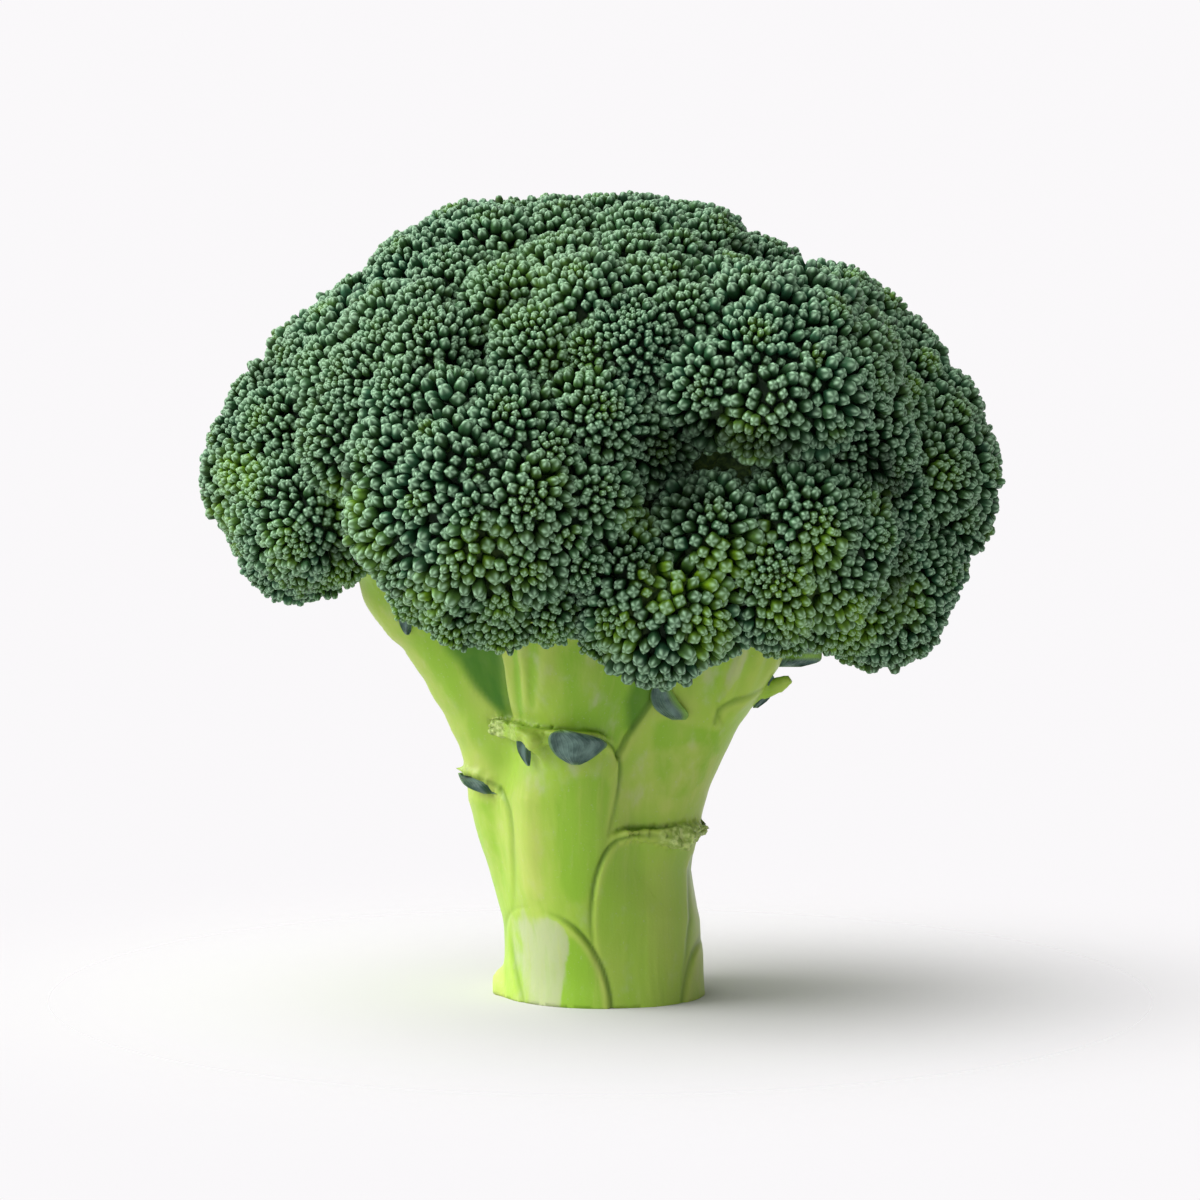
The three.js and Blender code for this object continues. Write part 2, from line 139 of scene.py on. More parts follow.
# Rosettes, the balls of buds that make up a floret: their sizes and how these vary, a ball's radius
# for its size, how far it stands out or in, and the angle from its top to its last buds
ROSETTE_SIZES = (13.5, 11.0, 8.8, 7.0)
ROSETTE_SPREAD = (0.92, 1.08)
ROSETTE_ROUNDNESS = 0.74
ROSETTE_LIFT = 0.9
ROSETTE_CAP = 112.0

# Grain, the size of a rosette's buds, and the florets whose buds are larger than the others'
GRAIN_LOW = 0.74
GRAIN_HIGH = 0.98
GRAIN_COARSE = 1.16
COARSE_FLORETS = ("front_right_top", "front_left", "front_middle", "front_low", "back", "back_right")

# The ragged lower rim: the angle off a floret's axis from which only small rosettes grow, how small
# and how round they are, the angle from which some are missing, and the share that is
RAGGED_FROM = 76.0
RAGGED_SIZE = 10.0
RAGGED_ROUNDNESS = 0.62
RAGGED_ANGLE = 88.0
RAGGED_SHARE = 0.1

# Buds: the spacing at a rosette's centre and at its edge, the distance over which it grows, the
# share of a square that each bud takes, the steps in which a spiral of them is worked out, how much
# longer one is than wide, and how widths and lengths vary
BUD_SPACING_IN = 1.45
BUD_SPACING_OUT = 2.4
BUD_GROWING_DISTANCE = 6.0
BUD_PACKING = 0.866
SPIRAL_STEPS = 200
BUD_SLENDERNESS = 1.85
BUD_WIDTHS = (0.9, 1.2)
BUD_LENGTHS = (0.85, 1.2)

# How unevenly buds stand: out from their ball, down it, round it and in the way they point, how much
# they point along their rosette, and the range of the turn at which its spiral starts
BUD_UNEVENNESS = 0.36
BUD_SHIFT = 0.07
BUD_TURN = 0.05
BUD_LEAN = 0.14
BUD_UPRIGHT = 0.25
ANY_TURN = 6.28

# Where buds grow: how far inside another ball one may be, its least distance from a branch, how far
# past a floret's rim, the distance from a rosette's centre to its outer buds, the distance within
# which buds of two rosettes are compared, and how close they may be, for their widths
BUD_OVERLAP = 0.8
BUD_CLEARANCE = 1.0
BUD_PAST_RIM = 14.0
BUD_OUTER_DISTANCE = 8.0
BUD_REACH = 2.0
BUD_CROWDING = 0.33

# Small buds that fill bare spots: the share of a floret's reach beyond which spots are looked at, the
# distance to the nearest bud that makes one bare, their width and how it varies, and how far out in
# its rosette each counts as
FILLER_FROM = 0.5
FILLER_GAP = 1.9
FILLER_WIDTH = 1.5
FILLER_WIDTHS = (0.9, 1.15)
FILLER_OUTNESS = 0.5

# How fast the yellow of the buds changes over the crown, in cells of noise per mm
WARM_SCALE = 0.045

# Loose sprigs: how young a cluster is that has gaps, and its share of gaps
SPRIG_YOUTH = 0.85
SPRIG_GAPS = 0.12

# Clusters of young yellow-green buds, as seen in the photograph: across, down, radius, strength
YOUNG_SPOTS = [
    (640, 520, 20, 0.7), (662, 585, 26, 1.0), (722, 572, 30, 1.0), (792, 600, 34, 0.9),
    (820, 545, 24, 0.8), (742, 442, 30, 0.5), (706, 632, 26, 1.0), (855, 622, 26, 0.9),
    (480, 552, 34, 0.6), (430, 600, 26, 0.7), (240, 472, 24, 0.8), (345, 500, 26, 0.6),
    (360, 555, 30, 0.6), (222, 520, 22, 0.6), (545, 475, 20, 0.4), (570, 360, 40, 0.35),
    (520, 300, 46, 0.3), (900, 600, 26, 0.7), (760, 540, 20, 0.6), (620, 630, 24, 0.7),
    (880, 500, 16, 0.5), (940, 470, 20, 0.4), (505, 600, 20, 0.5), (285, 545, 24, 0.5),
]

# Hollows between the florets on the front, with painted shade on the buds in them: across and down in
# the photograph, radius and depth
HOLLOWS = [
    (686, 462, 6.5, 8.5), (666, 486, 4.5, 6.0), (712, 450, 4.0, 5.0), (745, 452, 3.6, 4.5),
    (780, 456, 3.6, 4.5), (815, 456, 3.6, 5.0), (850, 456, 3.6, 5.0), (884, 468, 3.8, 5.5),
    (906, 500, 4.0, 6.0), (914, 545, 4.0, 5.5), (906, 590, 4.0, 5.0), (664, 520, 4.0, 4.5),
    (650, 548, 3.8, 4.0), (345, 480, 3.6, 4.0), (338, 520, 3.6, 4.5), (336, 560, 3.6, 4.5),
    (262, 366, 3.4, 3.0), (455, 352, 3.2, 3.0), (560, 360, 3.4, 3.0), (500, 300, 3.2, 2.6),
    (610, 300, 3.2, 2.6), (420, 410, 3.2, 2.6), (740, 250, 3.4, 3.0),
]


def unit(vectors):
    """Vectors scaled to length one, along the last axis."""
    vectors = np.asarray(vectors, float)
    return vectors / np.maximum(np.linalg.norm(vectors, axis=-1, keepdims=True), 1e-12)


def heading(azimuth):
    """The level unit vector of an azimuth in degrees."""
    angle = np.radians(azimuth)
    return np.stack([np.sin(angle), -np.cos(angle), np.zeros_like(angle)], axis=-1)


def smooth(share):
    """A smooth step from 0 to 1."""
    share = np.clip(share, 0, 1)
    return share * share * (3 - 2 * share)


def side_vectors(directions):
    """Two unit vectors square to each direction and to each other."""
    directions = np.atleast_2d(directions)
    steep = np.abs(directions[:, 2:]) > 0.9
    helper = np.where(steep, [[1.0, 0.0, 0.0]], [[0.0, 0.0, 1.0]])
    first = unit(np.cross(helper, directions))
    return first, np.cross(directions, first)


def ring_of(first, second, turns):
    """Points of a circle at given turns, for each pair of its side vectors."""
    across = first[:, None, :] * np.cos(turns)[None, :, None]
    return across + second[:, None, :] * np.sin(turns)[None, :, None]


def ring_faces(rings, sides):
    """Triangles between rings of points that follow each other, with so many points in each."""
    faces = []
    for ring in range(rings - 1):
        for side in range(sides):
            low, low_next = ring * sides + side, ring * sides + (side + 1) % sides
            high, high_next = low + sides, low_next + sides
            faces += [(low, low_next, high_next), (low, high_next, high)]
    return faces


def make_mesh(name, vertices, faces, attributes=None, face_slots=None):
    """A smooth-shaded mesh object in metres from millimetres, with attributes on its points."""
    mesh = bpy.data.meshes.new(name)
    faces = np.asarray(faces)
    corners = faces.shape[1]
    mesh.vertices.add(len(vertices))
    mesh.vertices.foreach_set("co", (np.asarray(vertices) * MM).astype(np.float32).ravel())
    mesh.loops.add(faces.size)
    mesh.loops.foreach_set("vertex_index", faces.astype(np.int32).ravel())
    mesh.polygons.add(len(faces))
    mesh.polygons.foreach_set("loop_start", np.arange(0, faces.size, corners, dtype=np.int32))
    mesh.polygons.foreach_set("use_smooth", np.ones(len(faces), bool))
    if face_slots is not None:
        mesh.polygons.foreach_set("material_index", np.asarray(face_slots, np.int32))
    for key, values in (attributes or {}).items():
        layer = mesh.attributes.new(key, "FLOAT", "POINT")
        layer.data.foreach_set("value", np.asarray(values, np.float32))
    mesh.update(calc_edges=True)
    mesh.validate()
    piece = bpy.data.objects.new(name, mesh)
    bpy.context.scene.collection.objects.link(piece)
    return piece


def make_florets():
    """The florets in space, each with its centre, reach, fork and the axis it grows along."""
    scale = np.array([CROWN["x"], CROWN["y"], CROWN["z"]])
    made = []
    for order, (name, azimuth, rise, reach, proud, branch) in enumerate(FLORETS):
        level = heading(azimuth) * math.cos(math.radians(rise))
        top = (level + [0, 0, math.sin(math.radians(rise))]) * scale
        centre = top + unit(top / scale**2) * (proud - reach) + [0, 0, CROWN["level"]]
        fork = np.array(BRANCHES[branch][0], float)
        axis = unit(centre - fork)
        made.append({
            "name": name, "order": order, "reach": reach, "centre": centre, "fork": fork, "axis": axis,
        })
    return made


florets = make_florets()
CENTRES = np.array([floret["centre"] for floret in florets])
REACHES = np.array([floret["reach"] for floret in florets])
AXES = np.array([floret["axis"] for floret in florets])


def dome_distance(points):
    """Signed distance to the florets' domes, with their creases filled softly."""
    apart = np.linalg.norm(points[:, None, :] - CENTRES[None], axis=2) - REACHES
    near = apart.min(axis=1, keepdims=True)
    blended = np.log(np.exp((near - apart) / CROWN_BLEND).sum(axis=1)) * CROWN_BLEND
    return near[:, 0] - blended + CROWN_SINK


def sight(across, down, side):
    """The way of the line of sight through a place in the photograph, and its point nearest y = 0."""
    rise = math.radians(CAMERA_ELEVATION)
    level = (across - PHOTO_MIDDLE) * PIXEL
    up = (PHOTO_MIDDLE - down) * PIXEL
    way = np.array([
        level, CAMERA_DISTANCE * math.cos(rise) + up * math.sin(rise),
        up * math.cos(rise) - CAMERA_DISTANCE * math.sin(rise),
    ])
    eye = np.array([0, -CAMERA_DISTANCE * math.cos(rise), CAMERA_DISTANCE * math.sin(rise)]) + CAMERA_TARGET
    start = eye - way * eye[1] / way[1]
    turned = np.array([side, side, 1.0])
    return unit(way) * turned, start * turned


def make_hollows():
    """The hollows in space: each lies where its line of sight meets the florets' domes."""
    made = []
    for across, down, radius, depth in HOLLOWS:
        way, start = sight(across, down, 1.0)
        points = start + way * np.arange(*CROWN_SEARCH)[:, None]
        apart = dome_distance(points)
        inside = apart < 0
        made.append((points[np.argmax(inside) if inside.any() else np.argmin(apart)], radius, depth))
    return made


hollows = make_hollows()


def hollow_depth(points):
    """How much the hollows sink the crown at each point."""
    depths = np.zeros(len(points))
    for centre, radius, depth in hollows:
        depths += depth * np.exp(-((points - centre) ** 2).sum(axis=1) / radius**2)
    return depths


def crown_distance(points):
    """Signed distance to the crown: the florets' domes with the hollows between them."""
    return dome_distance(points) + hollow_depth(points)


def crown_normal(points):
    """The way out of the crown's surface at each point."""
    step = 0.4
    slopes = [crown_distance(points + step * axis) - crown_distance(points - step * axis)
              for axis in np.eye(3)]
    return unit(np.stack(slopes, axis=1))


def owner_of(points):
    """The floret in whose room each point lies."""
    power = ((points[:, None, :] - CENTRES[None]) ** 2).sum(axis=2) - REACHES**2
    return power.argmin(axis=1)


def spiral_cap(axis, cap_angle, count, turn):
    """Directions that cover a cap round an axis evenly."""
    height = 1 - (1 - math.cos(cap_angle)) * (np.arange(count) + 0.5) / count
    width = np.sqrt(1 - height**2)
    angle = turn + np.arange(count) * GOLDEN_ANGLE
    first, second = side_vectors(axis)
    flat = first * (width * np.cos(angle))[:, None] + second * (width * np.sin(angle))[:, None]
    return flat + axis * height[:, None]


def branch_line(branch, steps):
    """Points on the line of a main branch, and the branch's radius at each of them."""
    fork, low, high, root_share, bend_share = BRANCHES[branch]
    fork = np.array(fork, float)
    root = np.array([fork[0] * root_share, fork[1] * root_share, BRANCH_ROOT])
    bend = np.array([fork[0] * bend_share, fork[1] * bend_share, BRANCH_BEND])
    share = np.linspace(0, 1, steps + 1)[:, None]
    points = (1 - share) ** 2 * root + 2 * share * (1 - share) * bend + share**2 * fork
    return points, np.linspace(low, high, steps + 1)


def stalk_clearance(points):
    """Distance from each point to the nearest main branch's surface."""
    nearest = np.full(len(points), np.inf)
    for branch in BRANCHES:
        for centre, radius in zip(*branch_line(branch, CLEARANCE_STEPS)):
            nearest = np.minimum(nearest, np.linalg.norm(points - centre, axis=1) - radius)
    return nearest


def rosette_seeds(rng):
    """Candidate places for rosettes, spread over the open parts of the crown."""
    places, owners = [], []
    for index, floret in enumerate(florets):
        reach = floret["reach"]
        rim = math.radians(RIM_ANGLE)
        count = int(2 * math.pi * reach**2 * (1 - math.cos(rim)) / SEED_AREA)
        ways = spiral_cap(floret["axis"], rim, count, index)
        points = floret["centre"] + ways * reach
        for _ in range(SETTLING_ROUNDS):
            points = points - SETTLING_SHARE * ways * crown_distance(points)[:, None]
        places.append(points)
        owners.append(np.full(count, index))
    places = np.concatenate(places)
    owners = np.concatenate(owners)
    kept = (owner_of(places) == owners) & (stalk_clearance(places) > ROSETTE_CLEARANCE)
    places, owners = places[kept], owners[kept]
    shuffled = rng.permutation(len(places))
    return places[shuffled], owners[shuffled]


def make_rosettes(rng):
    """Rosettes of mixed sizes, packed over the crown: the large ones first, then what fits."""
    places, owners = rosette_seeds(rng)
    centres, sizes, chosen = np.zeros((0, 3)), np.zeros(0), []
    outward = unit(places - CENTRES[owners])
    outness = np.arccos(np.clip((outward * AXES[owners]).sum(axis=1), -1, 1)) / math.pi
    ragged_from = math.radians(RAGGED_FROM) / math.pi
    for size in ROSETTE_SIZES:
        tried = size * rng.uniform(*ROSETTE_SPREAD, len(places))
        fits = outness < (1.0 if size < RAGGED_SIZE else ragged_from)
        for index in np.flatnonzero(fits):
            limit = 0.5 * (sizes + tried[index])
            apart = centres - places[index]
            if len(centres) and ((apart**2).sum(axis=1) < limit**2).any():
                continue
            centres = np.vstack([centres, places[index]])
            sizes = np.append(sizes, tried[index])
            chosen.append(index)
    normals = crown_normal(centres)
    outness, owners = outness[chosen], owners[chosen]
    radii = np.where(outness > ragged_from, RAGGED_ROUNDNESS, ROSETTE_ROUNDNESS) * sizes
    lift = rng.uniform(-ROSETTE_LIFT, ROSETTE_LIFT, len(sizes))
    hubs = centres - normals * (radii - lift)[:, None]
    grain = rng.uniform(GRAIN_LOW, GRAIN_HIGH, len(sizes))
    coarse = [index for index, floret in enumerate(florets) if floret["name"] in COARSE_FLORETS]
    grain = np.where(np.isin(owners, coarse), grain * GRAIN_COARSE, grain)
    under = outness > math.radians(RAGGED_ANGLE) / math.pi
    grain = np.where(under, GRAIN_LOW, grain)
    kept = ~(under & (rng.random(len(sizes)) < RAGGED_SHARE))
    return {
        "top": centres[kept], "normal": normals[kept], "radius": radii[kept], "hub": hubs[kept],
        "owner": owners[kept], "size": sizes[kept], "grain": grain[kept], "under": under[kept],
    }


def bud_spiral(radius, cap_angle, grain):
    """Polar angles, turns and spacings of a rosette's buds, which grow from its centre outward."""
    angle = np.linspace(0, cap_angle, SPIRAL_STEPS)
    grown = smooth(angle * radius / BUD_GROWING_DISTANCE)
    spacing = (BUD_SPACING_IN + (BUD_SPACING_OUT - BUD_SPACING_IN) * grown) * grain
    density = 2 * math.pi * radius**2 * np.sin(angle) / (BUD_PACKING * spacing**2)
    total = np.concatenate([[0], np.cumsum((density[1:] + density[:-1]) / 2 * np.diff(angle))])
    count = int(total[-1])
    polar = np.interp(np.arange(count) + 0.5, total, angle)
    return polar, np.arange(count) * GOLDEN_ANGLE, np.interp(polar, angle, spacing)


def exposed(points, own, rosettes):
    """Whether each point lies outside every other rosette's ball."""
    apart = np.linalg.norm(points[:, None, :] - rosettes["hub"][None], axis=2)
    apart[:, own] = np.inf
    return (apart > rosettes["radius"] - BUD_OVERLAP).all(axis=1)


def make_buds(rosettes, rng):
    """Every bud of the crown: its place, way, size, rosette and how far out in that it is."""
    rows = {"place": [], "way": [], "width": [], "length": [], "rosette": [], "outness": []}
    for index, hub in enumerate(rosettes["hub"]):
        radius = rosettes["radius"][index]
        normal = rosettes["normal"][index]
        grain = rosettes["grain"][index]
        polar, turn, spacing = bud_spiral(radius, math.radians(ROSETTE_CAP), grain)
        polar = polar + rng.normal(0, BUD_SHIFT, len(polar)) * spacing / radius
        turn = turn + rng.uniform(0, ANY_TURN) + rng.normal(0, BUD_TURN, len(polar))
        first, second = side_vectors(normal)
        level = first * np.cos(turn)[:, None] + second * np.sin(turn)[:, None]
        ways = level * np.sin(polar)[:, None] + normal * np.cos(polar)[:, None]
        places = hub + ways * (radius + rng.normal(0, BUD_UNEVENNESS, len(polar)))[:, None]
        owner = rosettes["owner"][index]
        last = math.cos(math.radians(RIM_ANGLE + BUD_PAST_RIM))
        kept = exposed(places, index, rosettes) & (unit(places - CENTRES[owner]) @ AXES[owner] > last)
        kept &= stalk_clearance(places) > BUD_CLEARANCE
        made = {
            "place": places,
            "way": unit(ways + BUD_UPRIGHT * normal + rng.normal(0, BUD_LEAN, ways.shape)),
            "width": spacing * rng.uniform(*BUD_WIDTHS, len(spacing)),
            "length": spacing * BUD_SLENDERNESS * rng.uniform(*BUD_LENGTHS, len(spacing)),
            "rosette": np.full(len(places), index),
            "outness": np.clip(polar * radius / BUD_OUTER_DISTANCE, 0, 1),
        }
        for key, values in made.items():
            rows[key].append(values[kept])
    buds = {key: np.concatenate(values) for key, values in rows.items()}
    return fill_gaps(thin_out(buds), rosettes, rng)


def tree_of(places):
    """Places sorted in space, to find the ones near a point."""
    tree = KDTree(len(places))
    for index, place in enumerate(places):
        tree.insert(place, index)
    tree.balance()
    return tree


def fill_gaps(buds, rosettes, rng):
    """Adds a small bud wherever the surface of the rosettes was left bare."""
    seeds, owners = rosette_seeds(rng)
    tree = tree_of(buds["place"])
    added = np.zeros((0, 3))
    rows = []
    for index, floret in enumerate(florets):
        ways = unit(seeds[owners == index] - floret["centre"])
        reach = core_radius(floret, ways, rosettes["hub"], rosettes["radius"])
        spots = (floret["centre"] + ways * reach[:, None])[reach > FILLER_FROM * floret["reach"]]
        for spot in spots[stalk_clearance(spots) > BUD_CLEARANCE]:
            bare = tree.find(spot)[2] > FILLER_GAP
            if not bare or (len(added) and np.linalg.norm(added - spot, axis=1).min() < FILLER_WIDTH):
                continue
            added = np.vstack([added, spot])
            rosette = np.argmin(np.linalg.norm(rosettes["hub"] - spot, axis=1) - rosettes["radius"])
            rows.append((unit(spot - rosettes["hub"][rosette]), rosette))
    width = FILLER_WIDTH * rng.uniform(*FILLER_WIDTHS, len(rows))
    more = {
        "place": added, "way": np.array([way for way, _ in rows]), "width": width,
        "length": BUD_SLENDERNESS * width, "rosette": np.array([rosette for _, rosette in rows]),
        "outness": np.full(len(rows), FILLER_OUTNESS),
    }
    return {key: np.concatenate([values, more[key]]) for key, values in buds.items()}


def thin_out(buds):
    """Drops a bud where one of another rosette already fills its place."""
    tree = tree_of(buds["place"])
    gone = np.zeros(len(buds["place"]), bool)
    for index, place in enumerate(buds["place"]):
        if gone[index]:
            continue
        for _, other, apart in tree.find_range(place, BUD_REACH):
            if other <= index or gone[other] or buds["rosette"][other] == buds["rosette"][index]:
                continue
            if apart < BUD_CROWDING * (buds["width"][index] + buds["width"][other]):
                gone[other] = True
    return {key: values[~gone] for key, values in buds.items()}


# A bud's rings from its base to its tip, as shares of its length and of its half width, where its tip
# is, its sides, its ribs, how far they stand out and which share of that they have at the base, how
# much of it is below the surface, and the tone of its tip between a groove (-1) and a rib (1)
BUD_RINGS = [(0.18, 0.78), (0.66, 1.0), (0.93, 0.64)]
BUD_TIP_SHARE = 0.99
BUD_SIDES = 8
BUD_RIBS = 4
BUD_LOBES = 0.07
BUD_LOBES_LOW = 0.4
BUD_SUNK = 0.58
TIP_RIDGE = -0.2


def bud_template():
    """Points of one bud, as shares of its length and half width and an angle, and its triangles."""
    angle = np.arange(BUD_SIDES) * 2 * math.pi / BUD_SIDES
    along, across, around = [], [], []
    for share, width in BUD_RINGS:
        lobes = 1 + BUD_LOBES * np.cos(BUD_RIBS * angle) * min(1.0, BUD_LOBES_LOW + share)
        along.append(np.full(BUD_SIDES, share))
        across.append(width * lobes)
        around.append(angle)
    along.append([BUD_TIP_SHARE])
    across.append([0.0])
    around.append([0.0])
    triangles = ring_faces(len(BUD_RINGS), BUD_SIDES)
    last = (len(BUD_RINGS) - 1) * BUD_SIDES
    tip = len(BUD_RINGS) * BUD_SIDES
    triangles += [(last + side, last + (side + 1) % BUD_SIDES, tip) for side in range(BUD_SIDES)]
    return np.concatenate(along), np.concatenate(across), np.concatenate(around), np.array(triangles)


def bud_meshes(buds, chosen, tones):
    """The points, triangles and attributes of the chosen buds."""
    along, across, around, triangles = bud_template()
    way = buds["way"][chosen]
    width = buds["width"][chosen]
    length = buds["length"][chosen]
    roll = tones["roll"][chosen][:, None]
    first, second = side_vectors(way)
    side = first * np.cos(roll) + second * np.sin(roll)
    other = np.cross(way, side)
    base = buds["place"][chosen] - way * (BUD_SUNK * length)[:, None]
    other = other * tones["flat"][chosen][:, None]
    ring = ring_of(side, other, around)
    points = base[:, None, :] + way[:, None, :] * (along[None, :] * length[:, None])[:, :, None]
    points = points + ring * (across[None, :] * width[:, None] / 2)[:, :, None]
    count, size = len(base), len(along)
    faces = triangles[None] + (np.arange(count) * size)[:, None, None]
    ridge = np.where(across > 0, np.cos(BUD_RIBS * around), TIP_RIDGE)
    attributes = {"along": np.tile(along, count), "ridge": np.tile(ridge, count)}
    for key in ("tone", "warm", "deep", "youth"):
        attributes[key] = np.repeat(tones[key][chosen], size)
    return points.reshape(-1, 3), faces.reshape(-1, 3), attributes


CORE_DEPTH = 1.9
CORE_RINGS = (14, 22)
CORE_BALLS = 14.0
UNDER_FROM = 0.25
UNDER_OVER = 0.3
UNDER_SHARE = 0.86
CORE_INSET = 0.4
CORE_OVERLAP = 0.8
NECK_ROOM = 1.2


def core_radius(floret, ways, hubs, radii):
    """How far a floret's dark inside reaches along each direction: just below its buds."""
    centre = floret["centre"]
    to_hub = hubs - centre
    along = ways @ to_hub.T
    rest = along**2 - (to_hub**2).sum(axis=1)[None] + radii[None] ** 2
    leaves = np.where(rest > 0, along + np.sqrt(np.maximum(rest, 0)), 0)
    return leaves.max(axis=1)


def sphere_grid(axis, rings, sides):
    """Directions in rings from an axis to its opposite, with the faces between them."""
    angle = np.linspace(0, math.pi, rings + 2)[1:-1]
    turn = np.arange(sides) * 2 * math.pi / sides
    first, second = side_vectors(axis)
    level = first * np.cos(turn)[:, None] + second * np.sin(turn)[:, None]
    grid = level[None] * np.sin(angle)[:, None, None] + axis * np.cos(angle)[:, None, None]
    ways = np.concatenate([grid.reshape(-1, 3), [axis], [-axis]])
    faces = []
    for ring in range(rings - 1):
        for side in range(sides):
            after = (side + 1) % sides
            low, high = ring * sides, (ring + 1) * sides
            faces += [(low + side, high + side, high + after), (low + side, high + after, low + after)]
    top, bottom, last = rings * sides, rings * sides + 1, (rings - 1) * sides
    faces += [(top, side, (side + 1) % sides) for side in range(sides)]
    faces += [(bottom, last + (side + 1) % sides, last + side) for side in range(sides)]
    return ways, np.array(faces)


def neighbours(floret):
    """The ways from a floret's centre to the others', and how far along them its own room goes."""
    others = np.delete(np.arange(len(florets)), floret["order"])
    between = CENTRES[others] - floret["centre"]
    apart = np.linalg.norm(between, axis=1)
    return between, apart, (apart + (floret["reach"] ** 2 - REACHES[others] ** 2) / apart) / 2


def neck_of(floret):
    """The depth and radius of the neck by which a floret stands on its branchlet."""
    between, apart, side = neighbours(floret)
    down = between @ -floret["axis"] / apart
    room = np.where(down > 0, side / np.maximum(down, 1e-6), np.inf).min()
    return min(NECK_SHARE * floret["reach"], room - NECK_ROOM), BRANCHLET_SHARE * floret["reach"]


def under_radius(floret, angle):
    """Half section of a floret's underside: a cone from its rim in to its neck."""
    depth, radius = neck_of(floret)
    rim = math.radians(RIM_ANGLE)
    x, y = floret["reach"] * math.sin(rim), floret["reach"] * math.cos(rim)
    dx, dy = radius - x, -depth - y
    cone = (x * dy - y * dx) / (np.sin(angle) * dy - np.cos(angle) * dx)
    flat = depth / np.maximum(-np.cos(angle), 1e-3)
    return np.where(np.tan(math.pi - angle) * depth < radius, flat, cone)


def room_toward(floret, ways):
    """Distance from a floret's centre to where its neighbours begin, along each direction."""
    between, apart, side = neighbours(floret)
    along = ways @ (between / apart[:, None]).T
    return np.where(along > 1e-3, side / np.maximum(along, 1e-3), np.inf).min(axis=1)


def make_core(floret, rosettes):
    """The solid inside of a floret, from its neck to just below its buds."""
    rings = CORE_RINGS[1]
    ways, faces = sphere_grid(floret["axis"], rings, 2 * rings)
    angle = np.arccos(np.clip(ways @ floret["axis"], -1, 1))
    near = np.linalg.norm(rosettes["hub"] - floret["centre"], axis=1) < floret["reach"] + CORE_BALLS
    dome = core_radius(floret, ways, rosettes["hub"][near], rosettes["radius"][near] - CORE_DEPTH)
    rim = math.radians(RIM_ANGLE)
    cone = np.where(angle > rim, under_radius(floret, np.maximum(angle, rim)), floret["reach"])
    under = smooth((angle - rim + UNDER_FROM) / UNDER_OVER)
    reach = dome * (1 - under) + UNDER_SHARE * cone * under
    reach = np.minimum(reach, cone - CORE_INSET * (1 - under))
    reach = np.minimum(reach, room_toward(floret, ways) + CORE_OVERLAP)
    points = floret["centre"] + ways * np.maximum(reach, 1.0)[:, None]
    return points, faces, under


def tubes(starts, ends, start_radii, end_radii, sides, steps, sag):
    """Tapered round tubes between pairs of points, bowed along a vector, all in one mesh."""
    starts, ends = np.asarray(starts), np.asarray(ends)
    count = len(starts)
    share = np.linspace(0, 1, steps + 1)
    turn = np.arange(sides) * 2 * math.pi / sides
    first, second = side_vectors(unit(ends - starts))
    ring = ring_of(first, second, turn)
    line = starts[:, None, :] + (ends - starts)[:, None, :] * share[None, :, None]
    line = line + sag[:, None, :] * (4 * share * (1 - share))[None, :, None]
    radii = start_radii[:, None] + (end_radii - start_radii)[:, None] * share[None, :]
    points = line[:, :, None, :] + ring[:, None, :, :] * radii[:, :, None, None]
    one = np.array(ring_faces(steps + 1, sides))
    faces = one[None] + (np.arange(count) * (steps + 1) * sides)[:, None, None]
    along = np.broadcast_to(share[None, :, None], (count, steps + 1, sides))
    return points.reshape(-1, 3), faces.reshape(-1, 3), along.reshape(-1)


def joined(parts):
    """Several sets of points and triangles as one."""
    points, faces, offset = [], [], 0
    for some_points, some_faces in parts:
        points.append(some_points)
        faces.append(some_faces + offset)
        offset += len(some_points)
    return np.concatenate(points), np.concatenate(faces)


# Small stems: how deep they start in the neck and how far out in it, their sag, their radius as a
# share of the floret's reach and at least, their taper, sides and steps
STEM_START = 1.0
STEM_SPREAD = 0.55
STEM_SAG = 0.06
STEM_SHARE = 0.1
STEM_LEAST = 1.7
STEM_TAPER = 0.72
STEM_SIDES = 7
STEM_STEPS = 5

# The last stems, to the outer buds: from which share of the way out in a rosette there are some,
# where they start from its middle, their radius, taper and sides, and where the first ones' tone ends
LAST_FROM = 0.6
LAST_START = 0.3
LAST_RADIUS = 0.62
LAST_TAPER = 1.3
LAST_SIDES = 4
LAST_TONE = 0.6


def make_stems(floret, index, rosettes, buds):
    """The small stems of a floret: from its neck to each rosette, and on to the outer buds."""
    mine = np.flatnonzero(rosettes["owner"] == index)
    depth, radius = neck_of(floret)
    hubs = rosettes["hub"][mine]
    neck = floret["centre"] - floret["axis"] * (depth + STEM_START)
    ways = unit(hubs - neck)
    sideways = ways - floret["axis"] * (ways @ floret["axis"])[:, None]
    starts = neck + sideways * (radius * STEM_SPREAD)
    sag = -floret["axis"] * STEM_SAG * np.linalg.norm(hubs - starts, axis=1)[:, None]
    sag = sag * (1 - (ways @ floret["axis"]) ** 2)[:, None]
    thick = np.full(len(mine), max(STEM_LEAST, STEM_SHARE * floret["reach"]))
    spray = tubes(starts, hubs, thick, STEM_TAPER * thick, STEM_SIDES, STEM_STEPS, sag)
    outer = np.flatnonzero(np.isin(buds["rosette"], mine) & (buds["outness"] > LAST_FROM))
    hub = rosettes["hub"][buds["rosette"][outer]]
    foot = buds["place"][outer] - buds["way"][outer] * (0.5 * buds["length"][outer])[:, None]
    thin = np.full(len(outer), LAST_RADIUS)
    straight = np.zeros((len(outer), 3))
    last = tubes(hub + LAST_START * (foot - hub), foot, LAST_TAPER * thin, thin, LAST_SIDES, 1, straight)
    points, faces = joined([spray[:2], last[:2]])
    return points, faces, np.concatenate([LAST_TONE * spray[2], LAST_TONE + (1 - LAST_TONE) * last[2]])


